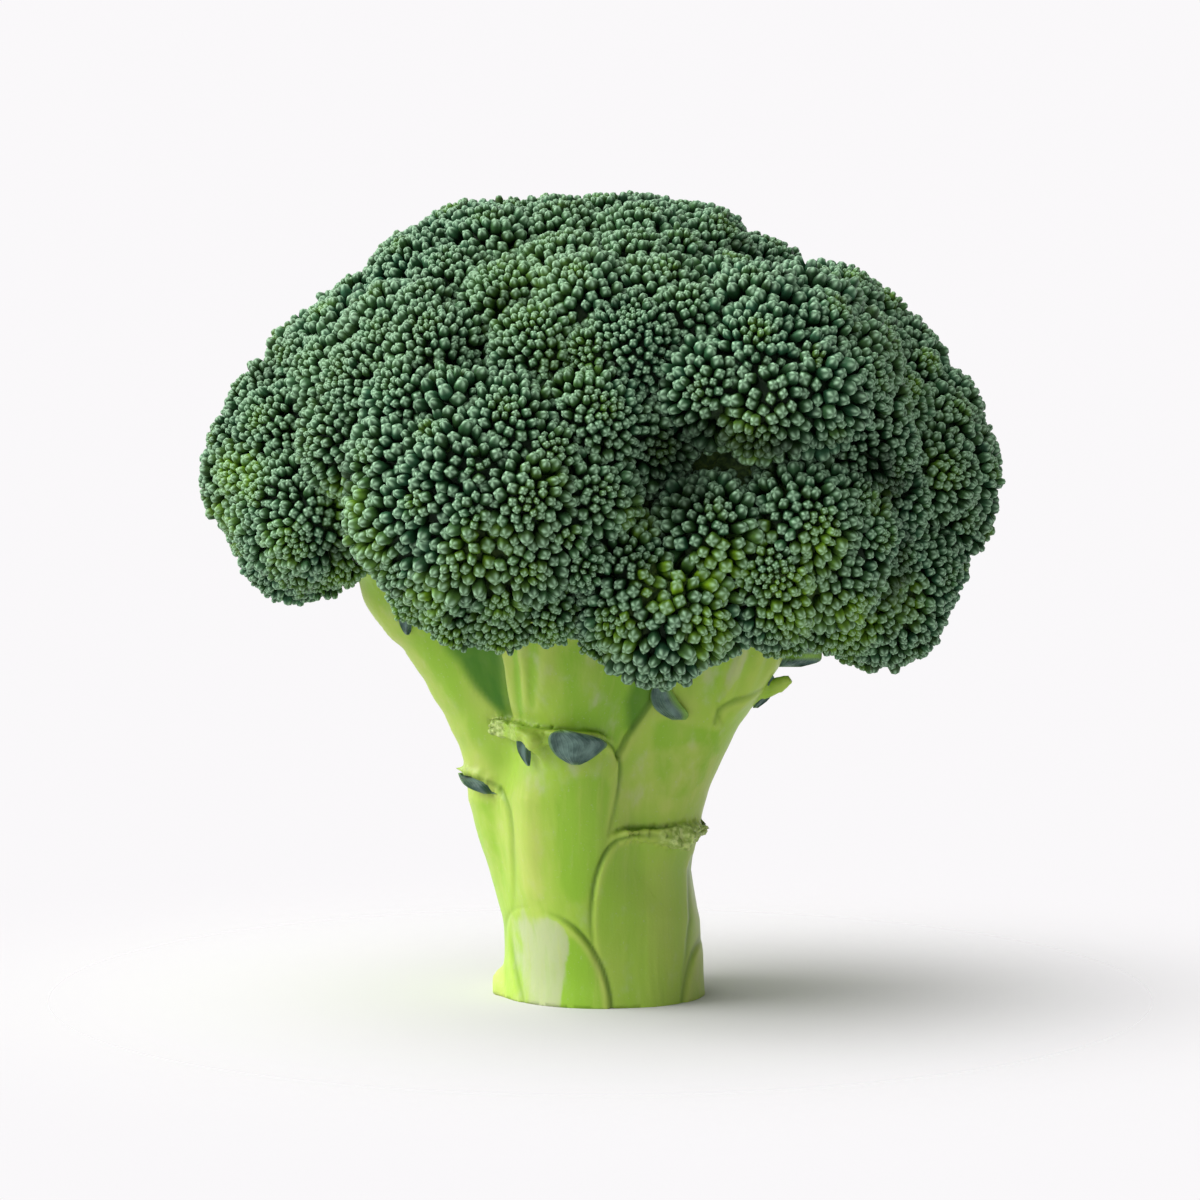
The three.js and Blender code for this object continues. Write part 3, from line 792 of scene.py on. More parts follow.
GRID_STEP = 0.85
GRID_LOW = (-60.0, -50.0, -3.0)
GRID_HIGH = (54.0, 52.0, 104.0)
FAR = 30.0
CONE_MARGIN = 1.5
TRUNK_BLEND = 4.0
BRANCH_BLEND = 1.4
TWIG_BLEND = 4.5
LIP_BLEND = 0.9

# Branches are drawn in steps, the first few of them blended as softly as the trunk
BRANCH_STEPS = 10
TRUNK_STEPS = 4

# Branchlets: how far below a floret's neck each starts and how far into it each goes, and their radii
# low down and high up, as shares of the neck's
TWIG_ROOT = 2.0
TWIG_INTO = 1.5
TWIG_RADII = (1.1, 0.95)

# The trunk: the box round it, how far it goes past its top, and the height in which its flare fades.
# It widens from one height over a stretch, and tapers away between the branches over another. The
# skin starts a little inside the source's radius.
TRUNK_BOX = ((-26, -26, -3), (26, 26, 66))
TRUNK_PAST = 6
FLARE_FADES = 6
WIDENS_FROM = 30
WIDENS_OVER = 24
TAPER = 14.0
TAPERS_BELOW = 12
TAPERS_OVER = 20
SKIN_INSET = 0.3

# Webs between two branches: how far back each lies and its half thickness, and where its strands run
# from one branch to the other
WEB_SHARES = (0.2, 0.35, 0.5, 0.65, 0.8)
WEBS = [
    ("left", "front", 1.0, 5.5), ("front", "right", 1.5, 8.0), ("right", "back_right", 0.0, 5.0),
    ("left", "back_left", 0.0, 5.0),
]

# Seams, where the base of one leaf stalk laps over the body, and creases. Each is drawn as it is
# seen in the photograph, or from behind in the same pixels: across, down and strength. The side to
# the right of the way it is drawn stands out over the other one.
SEAMS = {
    "front": [
        ("base", [
            (507, 945, 0.1), (507, 920, 0.3), (516, 908, 0.2), (535, 909, 0.0), (550, 915, 0.1),
            (563, 921, 0.5), (577, 931, 1.0), (590, 947, 1.0), (600, 965, 1.0), (607, 985, 0.9),
            (610, 1003, 0.8), (611, 1030, 0.8),
        ]),
        ("base_fold", [
            (509, 925, 0.0), (511, 950, 0.35), (515, 975, 0.45), (522, 1000, 0.4), (525, 1030, 0.4),
        ]),
        ("right_shield", [
            (604, 1000, 0.0), (597, 965, 0.2), (592, 930, 0.5), (593, 900, 0.9), (597, 875, 1.0),
            (606, 853, 1.0), (618, 841, 0.9), (640, 836, 0.5), (665, 838, 0.4), (700, 842, 0.3),
        ]),
        ("right_shield_edge", [
            (699, 858, 0.4), (692, 880, 0.6), (685, 915, 0.6), (680, 945, 0.5), (677, 975, 0.2),
            (676, 1000, 0.0),
        ]),
        ("corner", [(678, 1030, 0.5), (680, 996, 0.6), (685, 962, 0.7), (690, 948, 0.7), (699, 934, 0.4)]),
        ("middle", [
            (585, 739, 0.1), (607, 741, 0.7), (618, 755, 0.9), (620, 775, 0.8), (617, 797, 0.6),
            (613, 815, 0.45), (607, 835, 0.3), (600, 858, 0.0),
        ]),
        ("left", [
            (455, 774, 0.3), (478, 779, 0.5), (500, 788, 0.6), (512, 801, 0.6), (516, 830, 0.5),
            (516, 862, 0.35), (515, 895, 0.2), (512, 920, 0.0),
        ]),
        ("front_ledge", [
            (520, 727, 0.0), (545, 729, 0.7), (575, 731, 0.9), (600, 732, 0.8), (612, 738, 0.2),
        ]),
        ("right_ledge", [
            (614, 834, 0.2), (625, 829, 0.9), (645, 828, 1.0), (664, 829, 0.9), (680, 824, 0.2),
        ]),
        ("fork", [(620, 756, 0.9), (630, 734, 0.9), (645, 712, 0.8), (664, 685, 0.7), (680, 655, 0.5)]),
        ("web", [(509, 722, 0.4), (507, 700, 0.9), (506, 670, 0.9), (505, 640, 0.7), (503, 615, 0.5)]),
        ("scar", [(716, 722, 0.5), (721, 706, 0.7), (737, 698, 0.6), (758, 688, 0.3)]),
        ("scar_tick", [(716, 700, 0.0), (716, 716, 0.6), (722, 728, 0.0)]),
    ],
    "back": [
        ("fold", [(676, 860, 0.0), (664, 905, 0.5), (664, 960, 0.6), (670, 1030, 0.5)]),
        ("shield", [
            (512, 880, 0.4), (548, 874, 0.6), (578, 882, 0.8), (596, 906, 0.7), (603, 950, 0.4),
            (600, 1000, 0.0),
        ]),
        ("left", [(520, 758, 0.5), (545, 766, 0.7), (560, 790, 0.6), (564, 815, 0.3), (562, 840, 0.0)]),
        ("fork_left", [(575, 790, 0.0), (570, 750, 0.6), (560, 715, 0.7), (545, 680, 0.6)]),
        ("fork_right", [(628, 790, 0.0), (634, 750, 0.6), (645, 715, 0.7), (660, 680, 0.6)]),
    ],
}

# Across a seam, in mm: how far its upper side stands out, where and over what it rises, and how far it
# fades; the groove's depth, width and distance from the line; and the pale rim's distance and width
SEAM_STEP = 0.5
SEAM_FROM = 0.2
SEAM_OVER = 0.7
SEAM_SPREAD = 6.0
GROOVE_DEPTH = 0.36
GROOVE_WIDTH = 0.4
GROOVE_AT = 0.3
RIM_AT = 0.7
RIM_WIDTH = 0.6

# Ridges: height, half width in mm, and the line as above with its strength
RIDGES = {
    "front": [
        (0.7, 1.5, [(352, 585, 0.6), (392, 645, 0.8), (428, 700, 0.8), (452, 760, 0.4), (462, 800, 0.0)]),
        (1.0, 0.75, [(506, 636, 1.0), (510, 680, 1.0), (512, 712, 0.5), (513, 730, 0.0)]),
        (1.0, 0.9, [(522, 636, 1.0), (526, 680, 1.0), (525, 706, 0.5), (522, 722, 0.0)]),
        (0.6, 1.6, [(547, 640, 1.0), (543, 680, 0.8), (537, 712, 0.3), (535, 724, 0.0)]),
        (0.6, 2.4, [(592, 640, 0.9), (590, 680, 0.7), (586, 716, 0.0)]),
        (0.6, 1.8, [(528, 765, 0.0), (530, 800, 0.8), (531, 850, 0.9), (533, 890, 0.3), (536, 905, 0.0)]),
        (1.2, 1.2, [(716, 718, 0.0), (727, 695, 0.8), (740, 655, 1.0), (752, 620, 1.0)]),
        (1.2, 1.2, [(726, 722, 0.0), (739, 700, 0.8), (757, 660, 1.0), (769, 630, 1.0)]),
        (1.0, 1.1, [(738, 715, 0.0), (753, 690, 0.8), (771, 660, 1.0), (785, 640, 1.0)]),
        (0.5, 2.0, [(672, 760, 0.0), (684, 720, 0.8), (700, 680, 0.9), (712, 640, 0.8)]),
        (0.5, 2.6, [(655, 830, 0.0), (658, 870, 0.6), (655, 940, 0.6), (652, 1010, 0.6)]),
    ],
    "back": [
        (0.6, 1.6, [(480, 620, 1.0), (505, 690, 0.8), (520, 745, 0.0)]),
        (0.6, 1.4, [(500, 620, 1.0), (522, 690, 0.7), (532, 745, 0.0)]),
        (0.6, 1.6, [(590, 640, 1.0), (592, 700, 0.8), (596, 770, 0.0)]),
        (0.5, 1.4, [(612, 640, 1.0), (612, 700, 0.7), (608, 760, 0.0)]),
        (0.6, 1.6, [(720, 620, 1.0), (698, 690, 0.8), (680, 745, 0.0)]),
        (0.5, 1.4, [(742, 620, 1.0), (716, 690, 0.7), (690, 750, 0.0)]),
    ],
}

# How far the stalk's sides swell or draw in, in mm, from the crown down to the cut: down in the
# photograph, left side and right side
SWELLS = [
    (600, -0.8, 0.0), (630, -1.2, 0.0), (654, -0.2, 0.0), (666, -0.6, 0.4), (714, -1.0, -0.1),
    (726, -1.1, -0.5), (762, -0.7, -0.6), (780, 0.3, -0.8), (798, 1.1, -0.9), (822, 1.0, -1.2),
    (846, 0.9, -1.5), (870, 0.6, -1.6), (894, 0.4, -0.4), (918, 0.0, 0.8), (954, -0.1, 1.3),
    (990, 0.0, 1.1), (1020, 0.0, 1.1),
]

# How a swell turns with the surface: how fast it grows toward the side, and from where
SWELL_TURN = 1.4
SWELL_FROM = 0.2

# Areas of another tone on the front: how soft their edges are in mm, and their outlines. The deep
# ones are painted shade, the crown's shadow on the tops of the branches, the valleys between ribs and
# the sides turned from the light, with the shields' own deeper green in part; the shade ones are
# painted shade in the webs and forks between branches; the pale ones are partly paler skin and
# partly a painted highlight, most of it down the left side.
AREAS = {
    "deep": [
        (0.45, 1.5, [(600, 860), (618, 842), (700, 848), (692, 870), (682, 930), (678, 1030), (606, 1030),
                    (600, 960), (594, 900)]),
        (0.65, 1.6, [(556, 790), (575, 775), (612, 775), (608, 830), (596, 868), (588, 905), (562, 900),
                     (556, 850)]),
        (0.75, 1.2, [(570, 932), (590, 952), (602, 985), (604, 1030), (560, 1030), (561, 985), (566, 955)]),
        (0.9, 3.5, [(560, 630), (650, 630), (660, 690), (622, 750), (600, 735), (566, 735)]),
        (0.9, 0.5, [(512, 636), (518, 636), (522, 712), (515, 722)]),
        (0.8, 0.8, [(529, 636), (541, 636), (537, 702), (528, 714)]),
        (0.55, 1.4, [(682, 630), (738, 630), (724, 668), (712, 694), (694, 704), (684, 680)]),
        (0.5, 4.0, [(330, 560), (440, 600), (470, 700), (505, 760), (490, 770), (440, 700), (395, 640)]),
        (0.8, 1.2, [(652, 745), (657, 716), (690, 724), (728, 735), (700, 795), (660, 800), (655, 775)]),
        (0.5, 2.5, [(470, 800), (500, 795), (508, 860), (508, 900), (494, 880)]),
    ],
    "shade": [
        (0.95, 3.0, [(425, 600), (500, 600), (506, 720), (492, 706), (466, 672), (440, 640)]),
        (1.0, 2.0, [(455, 655), (480, 650), (503, 690), (506, 722), (490, 706), (470, 684)]),
        (0.8, 2.5, [(625, 690), (660, 640), (690, 640), (668, 690), (648, 712), (628, 738)]),
    ],
    "white": [
        (0.7, 0.8, [(741, 630), (753, 630), (741, 668), (721, 702), (713, 702), (730, 668)]),
        (0.45, 1.5, [(583, 650), (596, 650), (599, 695), (592, 720), (582, 705)]),
        (1.0, 0.8, [(535, 918), (552, 918), (569, 930), (570, 952), (565, 965), (562, 990), (558, 1030),
                    (538, 1030), (536, 975)]),
        (0.85, 4.0, [(512, 912), (545, 914), (556, 922), (556, 1030), (528, 1030), (518, 975), (511, 945)]),
        (0.45, 2.5, [(531, 655), (552, 655), (550, 690), (548, 722), (532, 720)]),
        (0.4, 2.5, [(520, 745), (610, 745), (616, 770), (560, 800), (520, 785)]),
        (0.4, 3.0, [(695, 640), (725, 640), (718, 700), (700, 715)]),
        (0.35, 2.5, [(612, 775), (625, 760), (648, 735), (655, 790), (640, 815), (615, 815)]),
    ],
    "pale": [
        (0.8, 2.0, [(486, 950), (505, 950), (510, 1015), (486, 1015)]),
        (0.6, 4.0, [(615, 770), (660, 740), (735, 740), (705, 815), (640, 822), (612, 815)]),
        (0.6, 3.0, [(518, 770), (545, 770), (545, 850), (550, 900), (525, 905), (518, 840)]),
        (0.5, 2.0, [(344, 574), (362, 605), (413, 664), (444, 719), (462, 772), (500, 905), (512, 905),
                    (512, 800), (450, 700), (400, 620)]),
        (0.6, 2.5, [(684, 930), (693, 868), (712, 900), (712, 1015), (690, 1015)]),
    ],
}

# Lips, where leaf stalks were cut or torn off, as a line of balls: across and down in the
# photograph, how far each stands out, its radius, and how torn it is
LIPS = {
    "front": [
        [(499, 727, 2.4, 1.3, 1.0), (508, 728, 2.3, 1.4, 0.9), (519, 731, 2.1, 1.45, 0.4),
         (535, 735, 1.9, 1.4, 0), (556, 736, 1.7, 1.2, 0), (585, 735, 1.4, 1.0, 0),
         (603, 738, 0.8, 0.8, 0), (613, 747, 0.0, 0.55, 0)],
        [(520, 733, 1.9, 1.3, 0), (532, 741, 1.5, 1.4, 0), (540, 750, 0.8, 1.2, 0), (545, 762, 0.0, 0.8, 0)],
        [(614, 840, 0.0, 0.5, 0), (628, 834, 0.6, 0.75, 0), (648, 833, 0.8, 0.85, 0),
         (663, 834, 1.0, 1.1, 0.5), (674, 836, 1.2, 1.5, 1.0), (686, 834, 1.4, 1.7, 1.0),
         (696, 831, 1.2, 1.6, 1.0), (704, 828, 1.3, 1.3, 1.0)],
        [(676, 842, 0.6, 0.9, 1.0), (688, 843, 0.6, 0.9, 1.0), (696, 838, 0.6, 1.0, 1.0)],
        [(459, 769, 0.4, 0.6, 0.3), (468, 771, 0.8, 0.75, 0.2), (480, 775, 0.8, 0.7, 0),
         (492, 780, 0.5, 0.65, 0), (503, 787, 0.1, 0.5, 0)],
        [(758, 694, -0.8, 1.7, 0), (768, 690, 0.0, 1.5, 0), (779, 686, 0.0, 1.3, 0),
         (788, 681, 0.0, 1.15, 0)],
        [(684, 915, -3.6, 4.2, 0), (690, 955, -3.4, 4.6, 0), (693, 1000, -3.2, 5.0, 0)],
        [(505, 972, -0.8, 2.0, 0), (502, 981, 0.2, 2.8, 0), (502, 989, 0.1, 2.8, 0),
         (505, 998, -1.0, 2.4, 0)],
    ],
    "back": [
        [(498, 750, 1.2, 1.0, 0.6), (512, 750, 1.6, 1.1, 0.8), (530, 753, 1.2, 1.0, 0.2),
         (548, 760, 0.3, 0.7, 0)],
        [(655, 732, 0.3, 0.7, 0), (672, 732, 1.3, 1.0, 0.4), (690, 730, 1.6, 1.15, 0.9),
         (702, 726, 1.2, 1.0, 1.0)],
        [(510, 881, 0.5, 0.9, 0.9), (526, 876, 1.1, 1.3, 0.9), (546, 873, 1.0, 1.1, 0.3),
         (570, 878, 0.2, 0.6, 0)],
    ],
}

# Torn places: how deep they are, how far round a lip's balls they reach and over what they fade, the
# cells of their noise per mm and its kind, and from which share on it is worked out
TORN_DEPTH = 0.38
TORN_REACH = 1.1
TORN_FADE = 0.8
TORN_SCALE = 0.65
TORN_NOISE = (0.9, 2.0, 2)
TORN_LEAST = 0.02

# From which strength of groove or rim, ridge, and torn place the stalk's mesh is made finer
FINE_SEAM = 0.04
FINE_RIDGE = 0.35
FINE_TORN = 0.05


def smooth_min(first, second, width):
    """The smaller of two distances, blended where they are within a width of each other."""
    near = np.maximum(width - np.abs(first - second), 0) / width
    return np.minimum(first, second) - near * near * width / 4


class Field:
    """Distances to the growing stalk on a regular grid, negative inside it."""

    def __init__(self, step):
        self.step = step
        self.low = np.array(GRID_LOW)
        self.shape = tuple(int(n) for n in np.ceil((np.array(GRID_HIGH) - self.low) / step) + 1)
        self.values = np.full(self.shape, FAR, np.float32)

    def add(self, distance, low, high, width):
        """Blends in a shape, given as a function of points, within its own box."""
        first = np.clip(np.floor((np.asarray(low) - self.low) / self.step).astype(int) - 1, 0, None)
        last = np.minimum(np.ceil((np.asarray(high) - self.low) / self.step).astype(int) + 2, self.shape)
        spans = [np.arange(a, b) * self.step + start for a, b, start in zip(first, last, self.low)]
        points = np.stack(np.meshgrid(*spans, indexing="ij"), axis=-1).reshape(-1, 3)
        window = tuple(slice(a, b) for a, b in zip(first, last))
        current = self.values[window]
        found = distance(points).reshape(current.shape)
        self.values[window] = smooth_min(current, found.astype(np.float32), width)

    def add_cone(self, start, end, start_radius, end_radius, width):
        """Blends in a round cone between two points."""
        start, end = np.asarray(start, float), np.asarray(end, float)
        axis = end - start
        margin = max(start_radius, end_radius) + width + CONE_MARGIN

        def distance(points):
            share = np.clip((points - start) @ axis / (axis @ axis), 0, 1)
            radius = start_radius + (end_radius - start_radius) * share
            return np.linalg.norm(points - start - share[:, None] * axis, axis=1) - radius

        self.add(distance, np.minimum(start, end) - margin, np.maximum(start, end) + margin, width)

    def sample(self, points):
        """Distances at any points, from the eight grid points round each."""
        place = (np.asarray(points) - self.low) / self.step
        cell = np.clip(np.floor(place).astype(int), 0, np.array(self.shape) - 2)
        share = place - cell
        total = np.zeros(len(place))
        for corner in np.ndindex(2, 2, 2):
            weight = np.prod(np.where(corner, share, 1 - share), axis=1)
            total += weight * self.values[tuple((cell + corner).T)]
        return total

    def under(self, across, down, side):
        """Where the line of sight through a place in the photograph meets the stalk, or passes it."""
        way, start = sight(across, down, side)
        points = start + way * np.arange(*STALK_SEARCH)[:, None]
        values = self.sample(points)
        inside = values < 0
        return points[np.argmax(inside)] if inside.any() else points[np.argmin(values)]


def seen(points, side):
    """Where points fall in the photograph, or from behind, in its pixels."""
    rise = math.radians(CAMERA_ELEVATION)
    depth_way, height = side * points[:, 1], points[:, 2] - CAMERA_TARGET[2]
    depth = CAMERA_DISTANCE + depth_way * math.cos(rise) - height * math.sin(rise)
    up = depth_way * math.sin(rise) + height * math.cos(rise)
    scale = CAMERA_DISTANCE / depth / PIXEL
    return np.stack([PHOTO_MIDDLE + side * points[:, 0] * scale, PHOTO_MIDDLE - up * scale], axis=1)


def facing(normals, side):
    """How far a surface faces the photographer, or the other way, from 0 to 1."""
    return smooth((FACING_FROM - side * normals[:, 1]) / FACING_OVER)


def trunk_distance(points):
    """Signed distance to the trunk, an upright cone that flares at the cut and widens at the top."""
    height = points[:, 2]
    radius = TRUNK_RADIUS - SKIN_INSET + CUT_FLARE * np.exp(-np.maximum(height, 0) / FLARE_FADES)
    radius = radius + WIDENING * smooth((height - WIDENS_FROM) / WIDENS_OVER)
    radius = radius - TAPER * smooth((height - TRUNK_TOP + TAPERS_BELOW) / TAPERS_OVER)
    return np.maximum(np.hypot(points[:, 0], points[:, 1]) - radius, height - TRUNK_TOP - TRUNK_PAST)


def grow_stalk(field):
    """The trunk, its branches, the webs between them and the branchlets up into the florets."""
    field.add(trunk_distance, *TRUNK_BOX, TRUNK_BLEND)
    for branch in BRANCHES:
        line, radii = branch_line(branch, BRANCH_STEPS)
        for index in range(BRANCH_STEPS):
            blend = TRUNK_BLEND if index < TRUNK_STEPS else BRANCH_BLEND
            field.add_cone(line[index], line[index + 1], radii[index], radii[index + 1], blend)
    for first, second, back, radius in WEBS:
        first_line, second_line = (branch_line(branch, BRANCH_STEPS)[0] for branch in (first, second))
        for share in WEB_SHARES:
            line = first_line + share * (second_line - first_line) + [0, back, 0]
            for index in range(TRUNK_STEPS, BRANCH_STEPS):
                field.add_cone(line[index], line[index + 1], radius, radius, TWIG_BLEND)
    for floret in florets:
        depth, radius = neck_of(floret)
        start = floret["fork"] - TWIG_ROOT * floret["axis"]
        end = floret["centre"] - floret["axis"] * (depth - TWIG_INTO)
        field.add_cone(start, end, TWIG_RADII[0] * radius, TWIG_RADII[1] * radius, TWIG_BLEND)


def add_lips(field):
    """The torn lips of cut leaf stalks, and how torn the stalk is round each of their balls."""
    torn = []
    for side, lips in ((1.0, LIPS["front"]), (-1.0, LIPS["back"])):
        for lip in lips:
            balls = []
            for across, down, out, radius, tear in lip:
                point = field.under(across, down, side)
                level = unit(point * [1, 1, 0])
                balls.append((point + level * (out - 0.5 * radius), radius))
                torn.append((*balls[-1], tear))
            for (start, start_radius), (end, end_radius) in zip(balls[:-1], balls[1:]):
                field.add_cone(start, end, start_radius, end_radius, LIP_BLEND)
    return torn


def crossing_points(field, cells):
    """A point in each cell: the middle of the places where the surface crosses the cell's edges."""
    total = np.zeros((len(cells), 3))
    crossings = np.zeros(len(cells))
    for first in np.ndindex(2, 2, 2):
        for axis in range(3):
            if first[axis]:
                continue
            second = tuple(c + (i == axis) for i, c in enumerate(first))
            near = field.values[tuple((cells + first).T)]
            far = field.values[tuple((cells + second).T)]
            crossed = (near < 0) != (far < 0)
            share = np.where(crossed, near / np.where(crossed, near - far, 1), 0)
            point = np.array(first, float) + share[:, None] * np.eye(3)[axis]
            total += np.where(crossed[:, None], point, 0)
            crossings += crossed
    return field.low + (cells + total / crossings[:, None]) * field.step


def net_quads(inside, number, axis):
    """A quad round each edge along an axis that the surface crosses, by the cells' numbers."""
    others = [i for i in range(3) if i != axis]
    low = tuple(slice(0, -1) if i == axis else slice(1, -1) for i in range(3))
    high = tuple(slice(1, None) if i == axis else slice(1, -1) for i in range(3))
    crossed = inside[low] != inside[high]
    base = np.argwhere(crossed)
    base[:, others] += 1
    ring = []
    for back in ((1, 1), (0, 1), (0, 0), (1, 0)):
        cell = base.copy()
        cell[:, others] -= back
        ring.append(number[tuple(cell.T)])
    quad = np.stack(ring, axis=1)
    turned = inside[low][crossed] != (axis == 1)
    return np.where(turned[:, None], quad, quad[:, ::-1])


def surface_net(field):
    """The zero surface of a field: one point in each cell that it crosses, joined by quads."""
    inside = field.values < 0
    count = np.zeros(tuple(n - 1 for n in field.shape), np.int8)
    for corner in np.ndindex(2, 2, 2):
        count += inside[tuple(slice(c, c + n) for c, n in zip(corner, count.shape))]
    cells = np.argwhere((count > 0) & (count < 8))
    number = np.full(count.shape, -1, np.int64)
    number[tuple(cells.T)] = np.arange(len(cells))
    quads = [net_quads(inside, number, axis) for axis in range(3)]
    return crossing_points(field, cells), np.concatenate(quads)


def rounded(line, closed=False, rounds=2):
    """A line of places with its corners cut, in rounds, so that it curves."""
    points = np.asarray(line, float)
    for _ in range(rounds):
        after = np.roll(points, -1, axis=0)
        cut = np.stack([0.75 * points + 0.25 * after, 0.25 * points + 0.75 * after], axis=1)
        if closed:
            points = cut.reshape(-1, points.shape[1])
        else:
            points = np.concatenate([points[:1], cut[:-1].reshape(-1, points.shape[1]), points[-1:]])
    return points


def line_distance(places, line):
    """Distance in mm from places in the photograph to a line in it, positive on its right, and the
    strength that the line has there."""
    nearest = np.full(len(places), np.inf)
    turned, strength = np.ones(len(places)), np.zeros(len(places))
    for start, end in zip(line[:-1], line[1:]):
        edge = end[:2] - start[:2]
        away = places - start[:2]
        share = np.clip(away @ edge / (edge @ edge), 0, 1)
        apart = np.linalg.norm(away - share[:, None] * edge, axis=1)
        closer = apart < nearest
        nearest = np.where(closer, apart, nearest)
        right = np.where(edge[0] * away[:, 1] - edge[1] * away[:, 0] >= 0, 1.0, -1.0)
        turned = np.where(closer, right, turned)
        strength = np.where(closer, start[2] + share * (end[2] - start[2]), strength)
    return nearest * turned * PIXEL, strength


def area_share(places, softness, outline):
    """How far places in the photograph lie inside an outline in it, from 0 to 1."""
    outline = rounded(outline, closed=True, rounds=1)
    nearest = np.full(len(places), np.inf)
    inside = np.zeros(len(places), bool)
    for start, end in zip(outline, np.roll(outline, -1, axis=0)):
        edge = end - start
        share = np.clip((places - start) @ edge / (edge @ edge), 0, 1)
        nearest = np.minimum(nearest, np.linalg.norm(places - start - share[:, None] * edge, axis=1))
        spans = (start[1] > places[:, 1]) != (end[1] > places[:, 1])
        height = np.where(end[1] == start[1], 1, end[1] - start[1])
        crossing = start[0] + (places[:, 1] - start[1]) * edge[0] / height
        inside ^= spans & (places[:, 0] < crossing)
    return smooth(0.5 + np.where(inside, nearest, -nearest) * PIXEL / softness)


def stalk_relief(points, normals):
    """How far seams and ridges lift each point of the stalk, and where they pale it or darken it with
    painted shade in their grooves.
    """
    lift = np.zeros(len(points))
    looks = {"groove": lift.copy(), "rim": lift.copy(), "ridge": lift.copy()}
    for side, name in ((1.0, "front"), (-1.0, "back")):
        places = seen(points, side)
        toward = facing(normals, side)
        for _, line in SEAMS[name]:
            apart, strength = line_distance(places, rounded(line))
            strength = strength * toward
            fading = np.exp(-np.maximum(apart, 0) / SEAM_SPREAD)
            raised = smooth((apart + SEAM_FROM) / SEAM_OVER) * fading
            groove = np.exp(-(((apart + GROOVE_AT) / GROOVE_WIDTH) ** 2))
            rim = np.exp(-(((apart - RIM_AT) / RIM_WIDTH) ** 2))
            lift += strength * (SEAM_STEP * raised - GROOVE_DEPTH * groove)
            looks["groove"] = np.maximum(looks["groove"], strength * groove)
            looks["rim"] = np.maximum(looks["rim"], strength * rim)
        for height, half_width, line in RIDGES[name]:
            apart, strength = line_distance(places, rounded(line))
            ridge = strength * toward * np.exp(-((apart / half_width) ** 2))
            lift += height * ridge
            looks["ridge"] = np.maximum(looks["ridge"], ridge)
    places, toward = seen(points, 1.0), facing(normals, 1.0)
    swells = np.array(SWELLS)
    for side, column in ((-1, 1), (1, 2)):
        swell = np.interp(places[:, 1], swells[:, 0], swells[:, column])
        turned = smooth(side * normals[:, 0] * SWELL_TURN - SWELL_FROM)
        lift += swell * turned * (side * points[:, 0] > 0)
    for tone, areas in AREAS.items():
        looks[tone] = np.zeros(len(points))
        for strength, softness, outline in areas:
            share = strength * toward * area_share(places, softness, outline)
            looks[tone] = np.maximum(looks[tone], share)
    return lift, looks


def torn_share(points, torn):
    """How torn each point of the stalk is, by the balls of the lips."""
    share = np.zeros(len(points))
    for centre, radius, tear in torn:
        apart = np.linalg.norm(points - centre, axis=1)
        share = np.maximum(share, tear * smooth((radius + TORN_REACH - apart) / TORN_FADE))
    return share


def point_normals(points, faces):
    """The way out of a mesh at each of its points."""
    corners = points[faces]
    across = np.cross(corners[:, 2] - corners[:, 0], corners[:, -1] - corners[:, 1])
    total = np.zeros_like(points)
    for corner in range(faces.shape[1]):
        np.add.at(total, faces[:, corner], across)
    return unit(total)


def cut_flat(piece):
    """Cuts the stalk level at the height it stands on, and closes the cut."""
    shape = bmesh.new()
    shape.from_mesh(piece.data)
    everything = list(shape.verts) + list(shape.edges) + list(shape.faces)
    cut = bmesh.ops.bisect_plane(
        shape, geom=everything, plane_co=(0, 0, 0), plane_no=(0, 0, -1), clear_outer=True,
    )
    rim = [item for item in cut["geom_cut"] if isinstance(item, bmesh.types.BMEdge)]
    filled = bmesh.ops.triangle_fill(shape, edges=rim, use_beauty=True)
    for item in filled["geom"]:
        if isinstance(item, bmesh.types.BMFace):
            item.material_index = 1
            item.smooth = False
    bmesh.ops.recalc_face_normals(shape, faces=list(shape.faces))
    shape.to_mesh(piece.data)
    shape.free()


def refined(points, quads, torn):
    """The stalk's mesh with the quads near its seams, ridges and lips cut in four."""
    normals = point_normals(points, quads)
    _, looks = stalk_relief(points, normals)
    fine = np.maximum(looks["groove"], looks["rim"]) > FINE_SEAM
    fine |= looks["ridge"] > FINE_RIDGE
    fine |= torn_share(points, torn) > FINE_TORN
    shape = bmesh.new()
    verts = [shape.verts.new(point) for point in points]
    for quad in quads:
        shape.faces.new([verts[corner] for corner in quad])
    shape.verts.index_update()
    edges = [edge for edge in shape.edges if any(fine[vert.index] for vert in edge.verts)]
    bmesh.ops.subdivide_edges(shape, edges=edges, cuts=1, use_grid_fill=True)
    bmesh.ops.triangulate(shape, faces=shape.faces[:])
    shape.verts.index_update()
    points = np.array([vert.co[:] for vert in shape.verts])
    triangles = np.array([[vert.index for vert in face.verts] for face in shape.faces])
    shape.free()
    return points, triangles


def make_stalk(field):
    """The stalk with its seams, lips, ribs and cut face, in one piece."""
    torn = add_lips(field)
    points, triangles = refined(*surface_net(field), torn)
    normals = point_normals(points, triangles)
    lift, looks = stalk_relief(points, normals)
    looks["torn"] = torn_share(points, torn)
    rough = np.zeros(len(points))
    for index in np.flatnonzero(looks["torn"] > TORN_LEAST):
        rough[index] = noise.fractal(Vector(points[index] * TORN_SCALE), *TORN_NOISE)
    points = points + normals * (lift + TORN_DEPTH * rough * looks["torn"])[:, None]
    piece = make_mesh("stalk_skin", points, triangles, looks)
    cut_flat(piece)
    return piece


